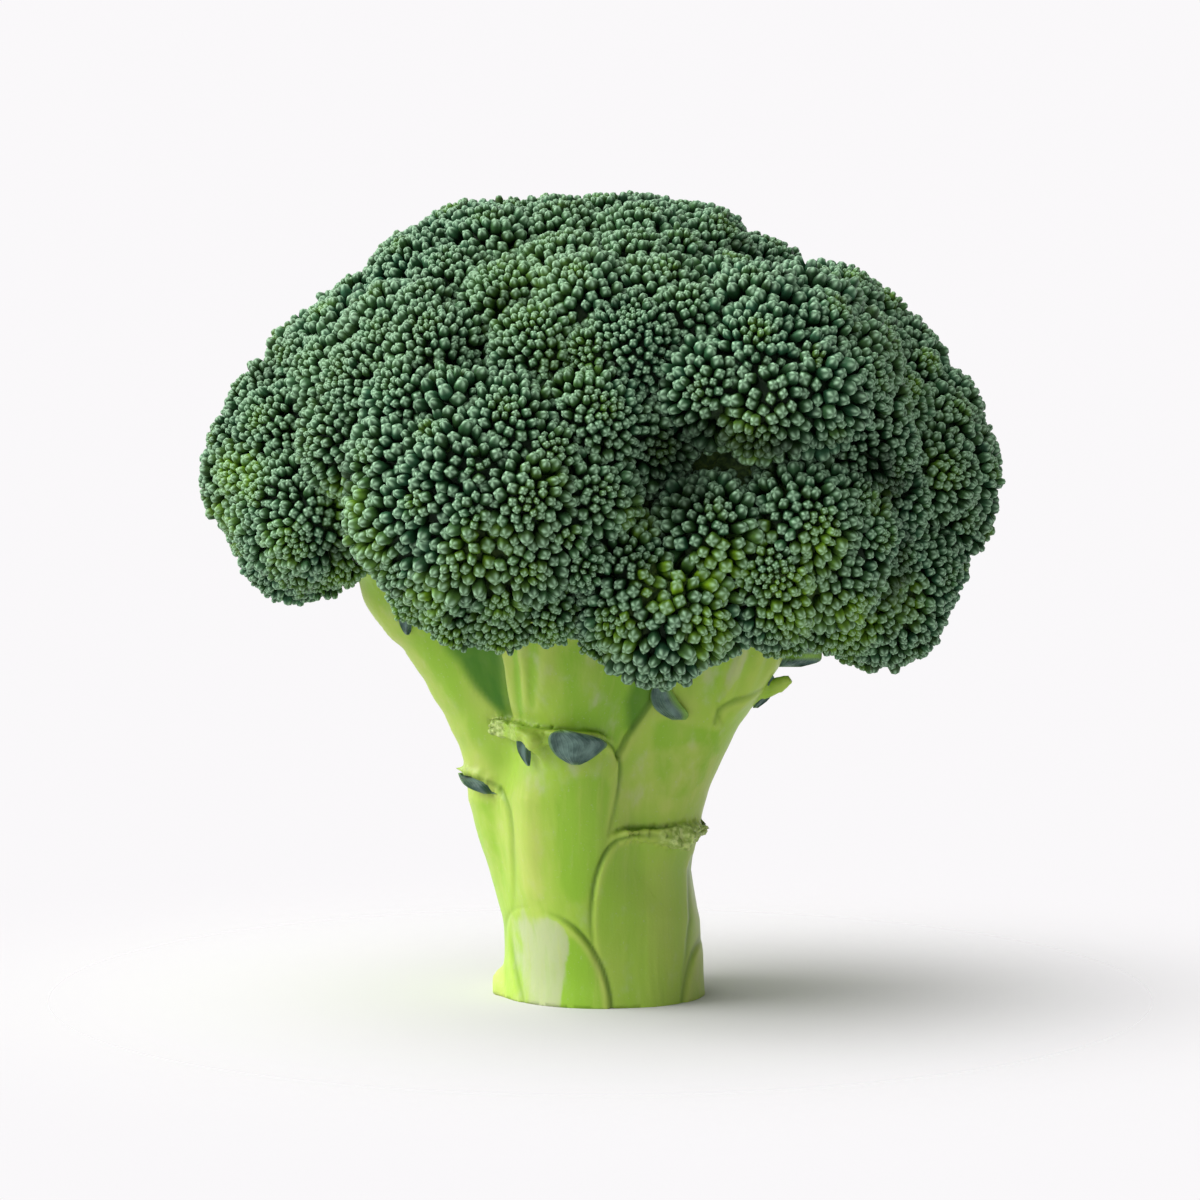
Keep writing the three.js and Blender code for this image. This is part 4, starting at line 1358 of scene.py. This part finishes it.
# Scraps of leaf: the node each replaces, the side it is seen from (1 front, -1 back), how far it
# stands off the stalk at its top and at its bottom, its bulge, its thickness, where its pale rim is,
# and its rows as seen in the photograph: down, left and right
BLADES = [
    ("leaf_scrap_front", 1, (2.6, 3.2), 0.9, 0.5, "top", [
        (730, 558, 566), (733, 551, 580), (737, 548, 598), (742, 548, 607), (746, 549, 608), (751, 552, 602),
        (757, 557, 595), (762, 565, 587), (765, 572, 580),
    ]),
    ("leaf_scrap_front_left", 1, (1.4, 2.0), 0.4, 0.5, "top", [
        (736, 517, 525), (742, 516, 529), (750, 517, 531), (758, 521, 531), (766, 527, 530),
    ]),
    ("leaf_scrap_left", 1, (1.2, 1.9), 0.5, 0.5, "top", [
        (773, 458, 466), (777, 459, 479), (781, 461, 492), (785, 464, 498), (789, 470, 499), (794, 484, 496),
    ]),
    ("leaf_scrap_front_right", 1, (0.8, 1.8), 1.3, 0.5, "right", [
        (682, 657, 666), (689, 651, 671), (698, 650, 676), (707, 653, 683), (714, 660, 690), (720, 672, 686),
    ]),
    ("leaf_scrap_right", 1, (0.0, 0.0), 0.8, 0.5, "left", [
        (673, 763, 772), (681, 758, 776), (690, 756, 775), (700, 754, 769), (708, 753, 758),
    ]),
    ("leaf_stub_right", 1, (-1.0, -1.0), 0.8, 2.2, "midrib", [
        (645, 790, 821), (650, 783, 822), (656, 778, 822), (662, 774, 821), (667, 770, 801),
    ]),
    ("leaf_scrap_under_left", 1, (0.6, 1.4), 0.3, 0.4, "top", [
        (612, 398, 409), (619, 398, 411), (626, 400, 412), (632, 403, 411), (635, 406, 409),
    ]),
    ("leaf_scrap_back_left", -1, (1.0, 2.4), 0.8, 0.5, "top", [
        (736, 657, 700), (742, 654, 703), (751, 657, 699), (759, 663, 692), (764, 672, 682),
    ]),
    ("leaf_scrap_back_right", -1, (1.0, 2.2), 0.5, 0.5, "top", [
        (752, 507, 519), (758, 505, 523), (766, 507, 525), (775, 512, 524), (784, 517, 521),
    ]),
]
ADDED_SCRAPS = ("leaf_scrap_under_left",)

# A blade's grid, its waves in mm and in turns across and down it, and where its bulge starts and how
# far it goes down
BLADE_ROWS = 14
BLADE_COLUMNS = 18
BLADE_DOWN = np.linspace(0, 1, BLADE_ROWS)
BLADE_ACROSS = np.linspace(0, 1, BLADE_COLUMNS)
BLADE_WAVE = 0.3
WAVE_ACROSS = 9
WAVE_DOWN = 5
BULGE_FROM = 0.15
BULGE_OVER = 0.8

# How a blade thins toward its edge, and how near the edge its green shows through
THINNING = 5
THINNEST = 0.04
EDGE_GLOW = 0.06

# How pale a blade is at each row and column, by where its pale rim is: 1 or more is wholly pale
PALE_RIMS = {
    "top": (1 - BLADE_DOWN / 0.16)[:, None],
    "right": (1.3 - (1 - BLADE_ACROSS) / 0.25)[None, :],
    "midrib": (1.4 - np.abs(BLADE_DOWN - 0.5) / 0.11)[:, None],
    "left": (1 - BLADE_ACROSS / 0.2)[None, :],
}


def blade_front(blade, field):
    """The front of a scrap of leaf in rows of points, each on the line of sight through its place."""
    _, side, off, bulge, _, _, rows = blade
    rows = rounded(rows, rounds=1)
    row_share = np.linspace(0, 1, len(rows))
    downs, lefts, rights = (np.interp(BLADE_DOWN, row_share, rows[:, column]) for column in range(3))
    front = np.zeros((BLADE_ROWS, BLADE_COLUMNS, 3))
    for row, (lower, down, left, right) in enumerate(zip(BLADE_DOWN, downs, lefts, rights)):
        behind = field.under((left + right) / 2, down, side)[1] * side
        for column, share in enumerate(BLADE_ACROSS):
            way, start = sight(left + share * (right - left), down, side)
            wave = BLADE_WAVE * math.sin(WAVE_ACROSS * share + WAVE_DOWN * lower)
            low = math.sin(math.pi * (BULGE_FROM + BULGE_OVER * lower))
            curve = bulge * math.sin(math.pi * share) * low
            out = off[0] + (off[1] - off[0]) * lower + curve + wave
            reach = (behind - out - side * start[1]) / (side * way[1])
            front[row, column] = start + way * reach
    return front


def blade_faces():
    """The faces of a closed blade: its front, its back and the band round them."""
    total = BLADE_ROWS * BLADE_COLUMNS
    number = np.arange(total).reshape(BLADE_ROWS, BLADE_COLUMNS)
    faces = []
    for row in range(BLADE_ROWS - 1):
        for column in range(BLADE_COLUMNS - 1):
            a, b = number[row, column:column + 2]
            d, c = number[row + 1, column:column + 2]
            faces += [(a, d, c, b), (a + total, b + total, c + total, d + total)]
    border = [*number[:, 0], *number[-1, 1:], *number[-2::-1, -1], *number[0, -2:0:-1]]
    for here, after in zip(border, border[1:] + border[:1]):
        faces.append((here, here + total, after + total, after))
    return faces


def make_blade(blade, field):
    """A thin curled scrap of leaf that hangs in front of the stalk, closed all round."""
    node, side, _, _, thickness, rim, _ = blade
    front = blade_front(blade, field)
    edge = np.minimum(BLADE_ACROSS, 1 - BLADE_ACROSS)[None, :]
    edge = np.minimum(edge, 0.5 * (1 - BLADE_DOWN)[:, None])
    depth = thickness * np.sqrt(np.clip(edge * THINNING, THINNEST, 1))
    back = front + np.array([0, side, 0]) * depth[:, :, None]
    points = np.concatenate([front.reshape(-1, 3), back.reshape(-1, 3)])
    looks = {
        "pale": np.clip(np.broadcast_to(PALE_RIMS[rim], edge.shape), 0, 1),
        "thin": np.clip(1 - edge / EDGE_GLOW, 0, 1),
        "across": np.broadcast_to(BLADE_ACROSS, edge.shape),
    }
    looks = {key: np.tile(values.reshape(-1), 2) for key, values in looks.items()}
    return make_mesh(f"{node}_blade", points, blade_faces(), looks)


# Colours in linear light
# Painted shade on the buds, and on young ones
BUD_PAINTED_SHADE = (0.002, 0.008, 0.002)
YOUNG_PAINTED_SHADE = (0.020, 0.085, 0.001)
BUD_DARK = (0.003, 0.026, 0.011)
BUD_MIDDLE = (0.011, 0.058, 0.027)
BUD_LIGHT = (0.032, 0.120, 0.065)
BUD_WARM = (0.075, 0.150, 0.030)
# Pale bud tips: partly their own paler colour, partly a painted highlight
BUD_TIP = (0.360, 0.580, 0.375)
BUD_YOUNG = (0.250, 0.470, 0.010)
# Painted shade inside the florets and in the buds' grooves
CORE_SHADE = (0.006, 0.024, 0.006)
CORE_SHADE_SPOT = (0.012, 0.042, 0.012)
STEM_PALE = (0.260, 0.430, 0.075)
STEM_DARK = (0.060, 0.150, 0.025)
STALK_GREEN = (0.315, 0.500, 0.048)
# A deeper green, also painted shade where the deep areas lie
STALK_DEEP = (0.225, 0.440, 0.022)
STALK_SHADE = (0.026, 0.140, 0.000)
STALK_PALE = (0.435, 0.515, 0.110)
STALK_WHITE = (0.420, 0.475, 0.265)
# Painted shade in the seams' grooves
GROOVE_SHADE = (0.060, 0.150, 0.004)
STALK_TORN = (0.480, 0.580, 0.200)
STALK_CORK = (0.260, 0.360, 0.080)
CUT_FACE = (0.620, 0.700, 0.400)
LEAF_BLUE = (0.018, 0.062, 0.048)
LEAF_GREY = (0.105, 0.190, 0.160)
LEAF_RIM = (0.190, 0.380, 0.040)

# The studio: the level surroundings that the camera sees, the way to the bright part of the sky above
# them, how it brightens toward that and above the horizon, the key light, and the floor, which fades
# out between two distances in metres
SURROUNDINGS = (0.955, 0.940, 0.955)
SKY_WAY = (-0.75, 0.15, 0.65)
SKY_TURN = (-0.1, 0.95)
SKY_RISE = (0.06, 0.3)
SKY_DIM = (0.05, 0.05, 0.05)
SKY_BRIGHT = (2.300, 2.300, 2.250)
KEY_WAY = (-0.780, -0.080, 0.620)
KEY_STRENGTH = 2.7
KEY_SOFTNESS = 40.0
FLOOR_SIZE = 12.0
FLOOR_FADE = (0.030, 0.200)
FLOOR_COLOUR = (0.575, 0.568, 0.575)


class Nodes:
    """Short calls for building the nodes of a material or of the world."""

    def __init__(self, tree):
        self.tree = tree

    def add(self, kind, **settings):
        node = self.tree.nodes.new(kind)
        for key, value in settings.items():
            setattr(node, key, value)
        return node

    def put(self, node, socket, value):
        """Links an output to a socket, or sets the socket's own value."""
        target = node.inputs[socket]
        if isinstance(value, bpy.types.NodeSocket):
            self.tree.links.new(value, target)
        elif hasattr(value, "__len__") and len(value) == 3 and target.type == "RGBA":
            target.default_value = (*value, 1.0)
        else:
            target.default_value = value

    def attribute(self, name):
        return self.add("ShaderNodeAttribute", attribute_name=name).outputs["Fac"]

    def math(self, operation, first, second=0.0, clamp=False):
        node = self.add("ShaderNodeMath", operation=operation, use_clamp=clamp)
        self.put(node, 0, first)
        self.put(node, 1, second)
        return node.outputs[0]

    def times(self, first, second):
        return self.math("MULTIPLY", first, second)

    def plus(self, first, second):
        return self.math("ADD", first, second)

    def ramp(self, value, low, high):
        """Maps a value from low..high to 0..1, smoothly."""
        node = self.add("ShaderNodeMapRange", interpolation_type="SMOOTHSTEP")
        self.put(node, "Value", value)
        self.put(node, "From Min", low)
        self.put(node, "From Max", high)
        return node.outputs["Result"]

    def mix(self, share, first, second):
        node = self.add("ShaderNodeMix", data_type="RGBA")
        for socket, value in ((0, share), (6, first), (7, second)):
            self.put(node, socket, value)
        return node.outputs[2]

    def over(self, colour, cover, tone, strength=None):
        """A colour with a tone over it as far as the cover says, times the strength if one is given."""
        if strength is not None:
            cover = self.times(cover, strength)
        return self.mix(cover, colour, tone)

    def coordinates(self, stretch):
        """The point on the object in metres, stretched along each axis."""
        where = self.add("ShaderNodeTexCoord").outputs["Object"]
        node = self.add("ShaderNodeMapping")
        self.put(node, "Vector", where)
        node.inputs["Scale"].default_value = stretch
        return node.outputs["Vector"]

    def noise(self, scale, detail=3.0, stretch=(1.0, 1.0, 1.0)):
        """Noise with so many cells to the metre, long along an axis where the stretch is small."""
        node = self.add("ShaderNodeTexNoise")
        self.put(node, "Vector", self.coordinates(stretch))
        node.inputs["Scale"].default_value = scale
        node.inputs["Detail"].default_value = detail
        return node.outputs["Fac"]


class MaterialNodes(Nodes):
    """The nodes of a new material, round its shader."""

    def __init__(self, name, roughness):
        self.material = bpy.data.materials.new(name)
        self.material.use_nodes = True
        super().__init__(self.material.node_tree)
        self.shader = self.tree.nodes["Principled BSDF"]
        self.shader.inputs["Roughness"].default_value = roughness

    def bump(self, height, strength, distance):
        node = self.add("ShaderNodeBump")
        node.inputs["Strength"].default_value = strength
        node.inputs["Distance"].default_value = distance
        self.put(node, "Height", height)
        self.put(self.shader, "Normal", node.outputs["Normal"])


def bud_material():
    """Closed flower buds: blue-green with a grey bloom, yellow-green when young, pale at the tip, partly
    their own colour and partly a painted highlight, with painted shade in their grooves, low down and in
    the crown's hollows.
    """
    n = MaterialNodes("buds", 0.45)
    tone = n.attribute("tone")
    along = n.attribute("along")
    ridge = n.ramp(n.attribute("ridge"), -0.9, 0.8)
    colour = n.mix(n.ramp(tone, 0.0, 0.55), BUD_DARK, BUD_MIDDLE)
    colour = n.over(colour, n.ramp(tone, 0.45, 1.0), BUD_LIGHT)
    colour = n.over(colour, n.attribute("warm"), BUD_WARM, 0.5)
    colour = n.over(colour, n.attribute("youth"), BUD_YOUNG, 0.85)
    # Pale tips and rib tops: partly the buds' own colour, partly a painted highlight
    tip = n.times(n.ramp(along, 0.74, 0.97), n.plus(0.35, n.times(ridge, 0.6)))
    colour = n.over(colour, tip, BUD_TIP, 0.85)
    # Painted shade in the grooves between a bud's ribs
    colour = n.over(colour, n.math("SUBTRACT", 1.0, ridge), CORE_SHADE, 0.45)
    # Painted shade low on each bud, where the buds crowd together, yellow-green in young buds
    low_shade = n.mix(n.attribute("youth"), BUD_PAINTED_SHADE, YOUNG_PAINTED_SHADE)
    colour = n.over(colour, n.ramp(along, 0.8, 0.3), low_shade, 0.95)
    # Painted shade on the buds in the crown's hollows
    colour = n.over(colour, n.attribute("deep"), BUD_PAINTED_SHADE, 0.75)
    n.put(n.shader, "Base Color", colour)
    n.shader.inputs["Specular IOR Level"].default_value = 0.12
    n.bump(n.noise(2600.0, 2.0), 0.25, 0.0002)
    return n.material


def core_material():
    """The inside of a floret, near-black with painted shade, pale below where its stems come together."""
    n = MaterialNodes("floret_inside", 0.75)
    spots = n.ramp(n.noise(900.0), 0.35, 0.7)
    # Painted shade, in spots
    dark = n.mix(spots, CORE_SHADE, CORE_SHADE_SPOT)
    pale = n.mix(spots, STEM_DARK, STEM_PALE)
    n.put(n.shader, "Base Color", n.mix(n.attribute("under"), dark, pale))
    return n.material


def stem_material():
    """Small stems: pale green, darker toward the buds."""
    n = MaterialNodes("small_stems", 0.5)
    streaks = n.noise(700.0, 3.0, (1.0, 1.0, 0.25))
    colour = n.mix(n.ramp(n.attribute("along"), 0.35, 1.0), STEM_PALE, STEM_DARK)
    n.put(n.shader, "Base Color", n.over(colour, streaks, STEM_DARK, 0.4))
    n.bump(streaks, 0.3, 0.0003)
    return n.material


def frayed(n, area, bloom, much):
    """An area's attribute, with its edge frayed by a noise."""
    return n.plus(n.attribute(area), n.times(n.math("SUBTRACT", bloom, 0.5), much))


def stalk_material():
    """Waxy green skin: deep green on the shields, painted shade in its deep areas, webs and grooves, pale
    along ridges and rims, a painted highlight in part of its pale areas, and fine long streaks.
    """
    n = MaterialNodes("stalk_skin", 0.4)
    streaks = n.noise(620.0, 4.0, (1.0, 1.0, 0.06))
    broad = n.noise(150.0, 3.0, (1.0, 1.0, 0.12))
    patches = n.noise(45.0, 3.0, (1.0, 1.0, 0.5))
    bloom = n.noise(330.0, 6.0, (1.0, 1.0, 0.6))
    specks = n.noise(1800.0, 2.0)
    colour = n.mix(n.ramp(patches, 0.35, 0.7), STALK_GREEN, STALK_PALE)
    colour = n.over(colour, n.ramp(broad, 0.42, 0.7), STALK_DEEP, 0.35)
    # Painted shade in the deep areas, with the shields' own deeper green in part
    colour = n.over(colour, n.attribute("deep"), STALK_DEEP)
    # Paler skin, partly a painted highlight down the left side
    colour = n.over(colour, n.ramp(frayed(n, "pale", bloom, 0.9), 0.3, 0.8), STALK_PALE, 0.75)
    colour = n.over(colour, n.ramp(frayed(n, "white", bloom, 1.8), 0.15, 1.05), STALK_WHITE, 0.85)
    colour = n.over(colour, n.ramp(streaks, 0.5, 0.78), STALK_PALE, 0.3)
    colour = n.over(colour, n.ramp(streaks, 0.48, 0.25), STALK_DEEP, 0.25)
    colour = n.over(colour, n.ramp(bloom, 0.52, 0.8), STALK_WHITE, 0.15)
    colour = n.over(colour, n.ramp(specks, 0.64, 0.75), STALK_WHITE, 0.3)
    mottled = n.plus(0.6, n.times(broad, 0.6))
    colour = n.over(colour, n.math("MULTIPLY", n.attribute("shade"), mottled, clamp=True), STALK_SHADE)
    colour = n.over(colour, n.attribute("ridge"), STALK_PALE, 0.45)
    colour = n.over(colour, n.attribute("rim"), STALK_PALE, 0.55)
    # Painted shade in the seams' grooves
    colour = n.over(colour, n.attribute("groove"), GROOVE_SHADE, 0.8)
    cork = n.mix(n.ramp(n.noise(1300.0, 4.0), 0.4, 0.62), STALK_CORK, STALK_TORN)
    colour = n.over(colour, n.attribute("torn"), cork)
    n.put(n.shader, "Base Color", colour)
    n.shader.inputs["Subsurface Weight"].default_value = 0.2
    n.shader.inputs["Subsurface Radius"].default_value = (0.6, 1.0, 0.2)
    n.shader.inputs["Subsurface Scale"].default_value = 0.002
    n.shader.inputs["Specular IOR Level"].default_value = 0.22
    n.shader.inputs["Coat Weight"].default_value = 0.03
    n.shader.inputs["Coat Roughness"].default_value = 0.3
    n.bump(n.plus(streaks, n.times(specks, 0.4)), 0.4, 0.0002)
    return n.material


# The cut face, in metres from its middle: where the ring of vessels begins and ends, each over a
# short stretch, and where the skin begins
VESSELS_IN = (0.0125, 0.0135)
VESSELS_OUT = (0.0160, 0.0145)
SKIN_AT = (0.0165, 0.0180)


def cut_material():
    """The cut face: moist pale flesh with a darker ring of vessels."""
    n = MaterialNodes("cut_face", 0.5)
    grain = n.noise(1500.0, 3.0)
    where = n.add("ShaderNodeSeparateXYZ")
    n.put(where, 0, n.coordinates((1.0, 1.0, 1.0)))
    squares = [n.times(where.outputs[axis], where.outputs[axis]) for axis in ("X", "Y")]
    radius = n.math("SQRT", n.plus(*squares))
    ring = n.times(n.ramp(radius, *VESSELS_IN), n.ramp(radius, *VESSELS_OUT))
    vessels = n.times(ring, n.ramp(n.noise(900.0, 2.0), 0.42, 0.6))
    colour = n.mix(n.ramp(grain, 0.4, 0.8), CUT_FACE, STALK_PALE)
    colour = n.over(colour, vessels, STALK_GREEN, 0.7)
    n.put(n.shader, "Base Color", n.over(colour, n.ramp(radius, *SKIN_AT), STALK_GREEN))
    n.bump(grain, 0.4, 0.0002)
    return n.material


def leaf_material():
    """Blue-green leaf with a grey wax bloom, a bright green rim and fine veins."""
    n = MaterialNodes("leaf_blade", 0.45)
    bloom = n.noise(420.0, 5.0)
    across = n.times(n.attribute("across"), 34.0)
    veins = n.math("POWER", n.math("ABSOLUTE", n.math("SINE", across)), 12.0)
    colour = n.mix(n.ramp(bloom, 0.35, 0.68), LEAF_BLUE, LEAF_GREY)
    colour = n.over(colour, veins, LEAF_GREY, 0.2)
    colour = n.over(colour, n.attribute("thin"), LEAF_RIM, 0.45)
    colour = n.over(colour, n.attribute("pale"), LEAF_RIM)
    n.put(n.shader, "Base Color", colour)
    n.shader.inputs["Sheen Weight"].default_value = 0.15
    n.bump(n.plus(veins, bloom), 0.4, 0.0002)
    return n.material


def dress_leaves(field):
    """Replaces every scrap of leaf with a thin curled one."""
    look = leaf_material()
    for blade in BLADES:
        piece = make_blade(blade, field)
        piece.data.materials.append(look)
        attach(piece, "root")
        if blade[0] not in ADDED_SCRAPS:
            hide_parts(blade[0])


def dress_stalk(field):
    """Replaces the stalk with its finished skin."""
    piece = make_stalk(field)
    piece.data.materials.append(stalk_material())
    piece.data.materials.append(cut_material())
    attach(piece, "root")
    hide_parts("stalk")


def make_camera():
    """The camera of the photograph."""
    data = bpy.data.cameras.new("camera")
    data.sensor_width = SENSOR_WIDTH
    data.lens = SENSOR_WIDTH * CAMERA_DISTANCE / FRAME_WIDTH
    data.clip_end = 100.0
    camera = bpy.data.objects.new("camera", data)
    bpy.context.scene.collection.objects.link(camera)
    rise = math.radians(CAMERA_ELEVATION)
    back = Vector((0, -math.cos(rise), math.sin(rise)))
    camera.location = (Vector(CAMERA_TARGET) + back * CAMERA_DISTANCE) * MM
    camera.rotation_euler = (-back).to_track_quat("-Z", "Y").to_euler()
    bpy.context.scene.camera = camera


def key_light():
    """A soft sun from the upper left."""
    data = bpy.data.lights.new("key", "SUN")
    data.energy = KEY_STRENGTH
    data.angle = math.radians(KEY_SOFTNESS)
    light = bpy.data.objects.new("key", data)
    bpy.context.scene.collection.objects.link(light)
    light.rotation_euler = (-Vector(KEY_WAY)).to_track_quat("-Z", "Y").to_euler()


def studio_world():
    """White surroundings at eye level, and above them a bright sky on the left and a dim one right."""
    world = bpy.data.worlds.new("studio")
    world.use_nodes = True
    n = Nodes(world.node_tree)
    background = n.tree.nodes["Background"]
    way = n.add("ShaderNodeTexCoord").outputs["Generated"]
    split = n.add("ShaderNodeSeparateXYZ")
    n.put(split, 0, way)
    toward = n.add("ShaderNodeVectorMath", operation="DOT_PRODUCT")
    n.put(toward, 0, way)
    toward.inputs[1].default_value = Vector(SKY_WAY).normalized()
    sky = n.mix(n.ramp(toward.outputs["Value"], *SKY_TURN), SKY_DIM, SKY_BRIGHT)
    high = n.ramp(split.outputs["Z"], *SKY_RISE)
    n.put(background, "Color", n.mix(high, SURROUNDINGS, sky))
    background.inputs["Strength"].default_value = 1.0
    return world


def make_stage():
    """A pale floor that fades into the surroundings, and soft light from the upper left."""
    bpy.ops.mesh.primitive_plane_add(size=FLOOR_SIZE, location=(0, 0, 0))
    floor = bpy.context.object
    floor.name = "floor"
    n = MaterialNodes("floor", 0.9)
    n.put(n.shader, "Base Color", FLOOR_COLOUR)
    n.shader.inputs["Specular IOR Level"].default_value = 0.1
    where = n.add("ShaderNodeTexCoord").outputs["Object"]
    away = n.add("ShaderNodeVectorMath", operation="LENGTH")
    n.put(away, 0, where)
    near = n.ramp(away.outputs["Value"], FLOOR_FADE[1], FLOOR_FADE[0])
    n.put(n.shader, "Alpha", n.times(near, near))
    floor.data.materials.append(n.material)
    bpy.context.scene.world = studio_world()
    key_light()
    bpy.context.scene.view_settings.view_transform = "Standard"


def young_spots(buds):
    """How far each bud belongs to one of the young clusters on the front."""
    places = seen(buds["place"], 1.0)
    toward = facing(buds["way"], 1.0)
    share = np.zeros(len(places))
    for across, down, radius, strength in YOUNG_SPOTS:
        apart = np.linalg.norm(places - [across, down], axis=1)
        share = np.maximum(share, strength * toward * smooth(1.5 - apart / radius))
    return share


def warmth(buds, rng):
    """How yellow each bud's green is, in patches over the crown with a little from bud to bud."""
    drift = np.array([noise.noise(Vector(place * WARM_SCALE)) for place in buds["place"]])
    return np.clip(WARM_MIDDLE + WARM_STRENGTH * drift + rng.normal(0, WARM_SPREAD, len(drift)), 0, 1)


# Buds' looks: how much a rosette's tone may differ, a bud's middle tone and its spread, how flat buds
# are, and how yellow: the patches' middle, their strength and the spread in them
PATCH_TONE = 0.14
BUD_TONE = (0.45, 0.24)
BUD_FLATNESS = (0.78, 1.05)
WARM_MIDDLE = 0.35
WARM_STRENGTH = 0.9
WARM_SPREAD = 0.15

# Youth: how far out in a rosette buds are young, how young they are there at least and beyond that
# in a young rosette, how rare young rosettes are, how youth varies, and what the ragged rim adds
YOUNG_OUT_TO = 0.45
YOUNG_LEAST = 0.1
YOUNG_MORE = 0.5
YOUNG_RARENESS = 3
YOUNG_SPREAD = 0.05
YOUNG_RIM = 0.35
YOUNG_IN_SPOTS = (0.4, 1.0)
CORE_GLOW = 0.7


def bud_tones(buds, rosettes, spots, rng):
    """The tone, turn, flatness, youth and warmth of every bud, and its painted shade by the depth of the
    crown's hollows.
    """
    count = len(spots)
    patch = rng.uniform(-PATCH_TONE, PATCH_TONE, len(rosettes["hub"]))
    tones = {
        "tone": np.clip(rng.normal(*BUD_TONE, count) + patch[buds["rosette"]], 0, 1),
        "roll": rng.uniform(0, 2 * math.pi, count),
        "flat": rng.uniform(*BUD_FLATNESS, count),
    }
    ripe = rng.random(len(rosettes["hub"])) ** YOUNG_RARENESS
    centre = np.clip(1 - buds["outness"] / YOUNG_OUT_TO, 0, 1)
    youth = centre * (YOUNG_LEAST + YOUNG_MORE * ripe[buds["rosette"]]) + YOUNG_SPREAD * rng.random(count)
    youth = youth + YOUNG_RIM * rosettes["under"][buds["rosette"]] * rng.random(count)
    tones["youth"] = np.clip(np.maximum(youth, spots * rng.uniform(*YOUNG_IN_SPOTS, count)), 0, 1)
    tones["warm"] = warmth(buds, rng)
    # Painted shade for the buds in the crown's hollows, the darker the deeper
    tones["deep"] = smooth(hollow_depth(buds["place"]) / DEEP_AT)
    return tones


def floret_mesh(floret, buds, chosen, tones, rosettes):
    """A floret's buds and the dark inside that they stand on, as one mesh with a slot for each."""
    points, faces, attributes = bud_meshes(buds, chosen, tones)
    core_points, core_faces, under = make_core(floret, rosettes)
    blank = np.zeros(len(core_points))
    attributes = {key: np.concatenate([values, blank]) for key, values in attributes.items()}
    glow = young_spots({"place": core_points, "way": unit(core_points - floret["centre"])})
    attributes["under"] = np.concatenate([np.zeros(len(points)), np.maximum(under, CORE_GLOW * glow)])
    slots = np.repeat([0, 1], [len(faces), len(core_faces)])
    points, faces = joined([(points, faces), (core_points, core_faces)])
    return make_mesh(f"floret_{floret['name']}_buds", points, faces, attributes, slots)


def dress_florets(rng):
    """Replaces every floret with its own buds, inside and small stems."""
    rosettes = make_rosettes(rng)
    buds = make_buds(rosettes, rng)
    spots = young_spots(buds)
    kept = (spots < SPRIG_YOUTH) | (rng.random(len(spots)) > SPRIG_GAPS)
    buds, spots = {key: values[kept] for key, values in buds.items()}, spots[kept]
    tones = bud_tones(buds, rosettes, spots, rng)
    bud_look, inside_look, stem_look = bud_material(), core_material(), stem_material()
    owner = rosettes["owner"][buds["rosette"]]
    for index, floret in enumerate(florets):
        piece = floret_mesh(floret, buds, np.flatnonzero(owner == index), tones, rosettes)
        piece.data.materials.append(bud_look)
        piece.data.materials.append(inside_look)
        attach(piece, "root")
        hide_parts(f"floret_{floret['name']}")
        points, faces, along = make_stems(floret, index, rosettes, buds)
        stems = make_mesh(f"floret_{floret['name']}_stems", points, faces, {"along": along})
        stems.data.materials.append(stem_look)
        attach(stems, "root")


make_camera()
make_stage()
stalk_field = Field(GRID_STEP * (1.0))
grow_stalk(stalk_field)
dress_leaves(stalk_field)
dress_stalk(stalk_field)
dress_florets(np.random.default_rng(SEED))
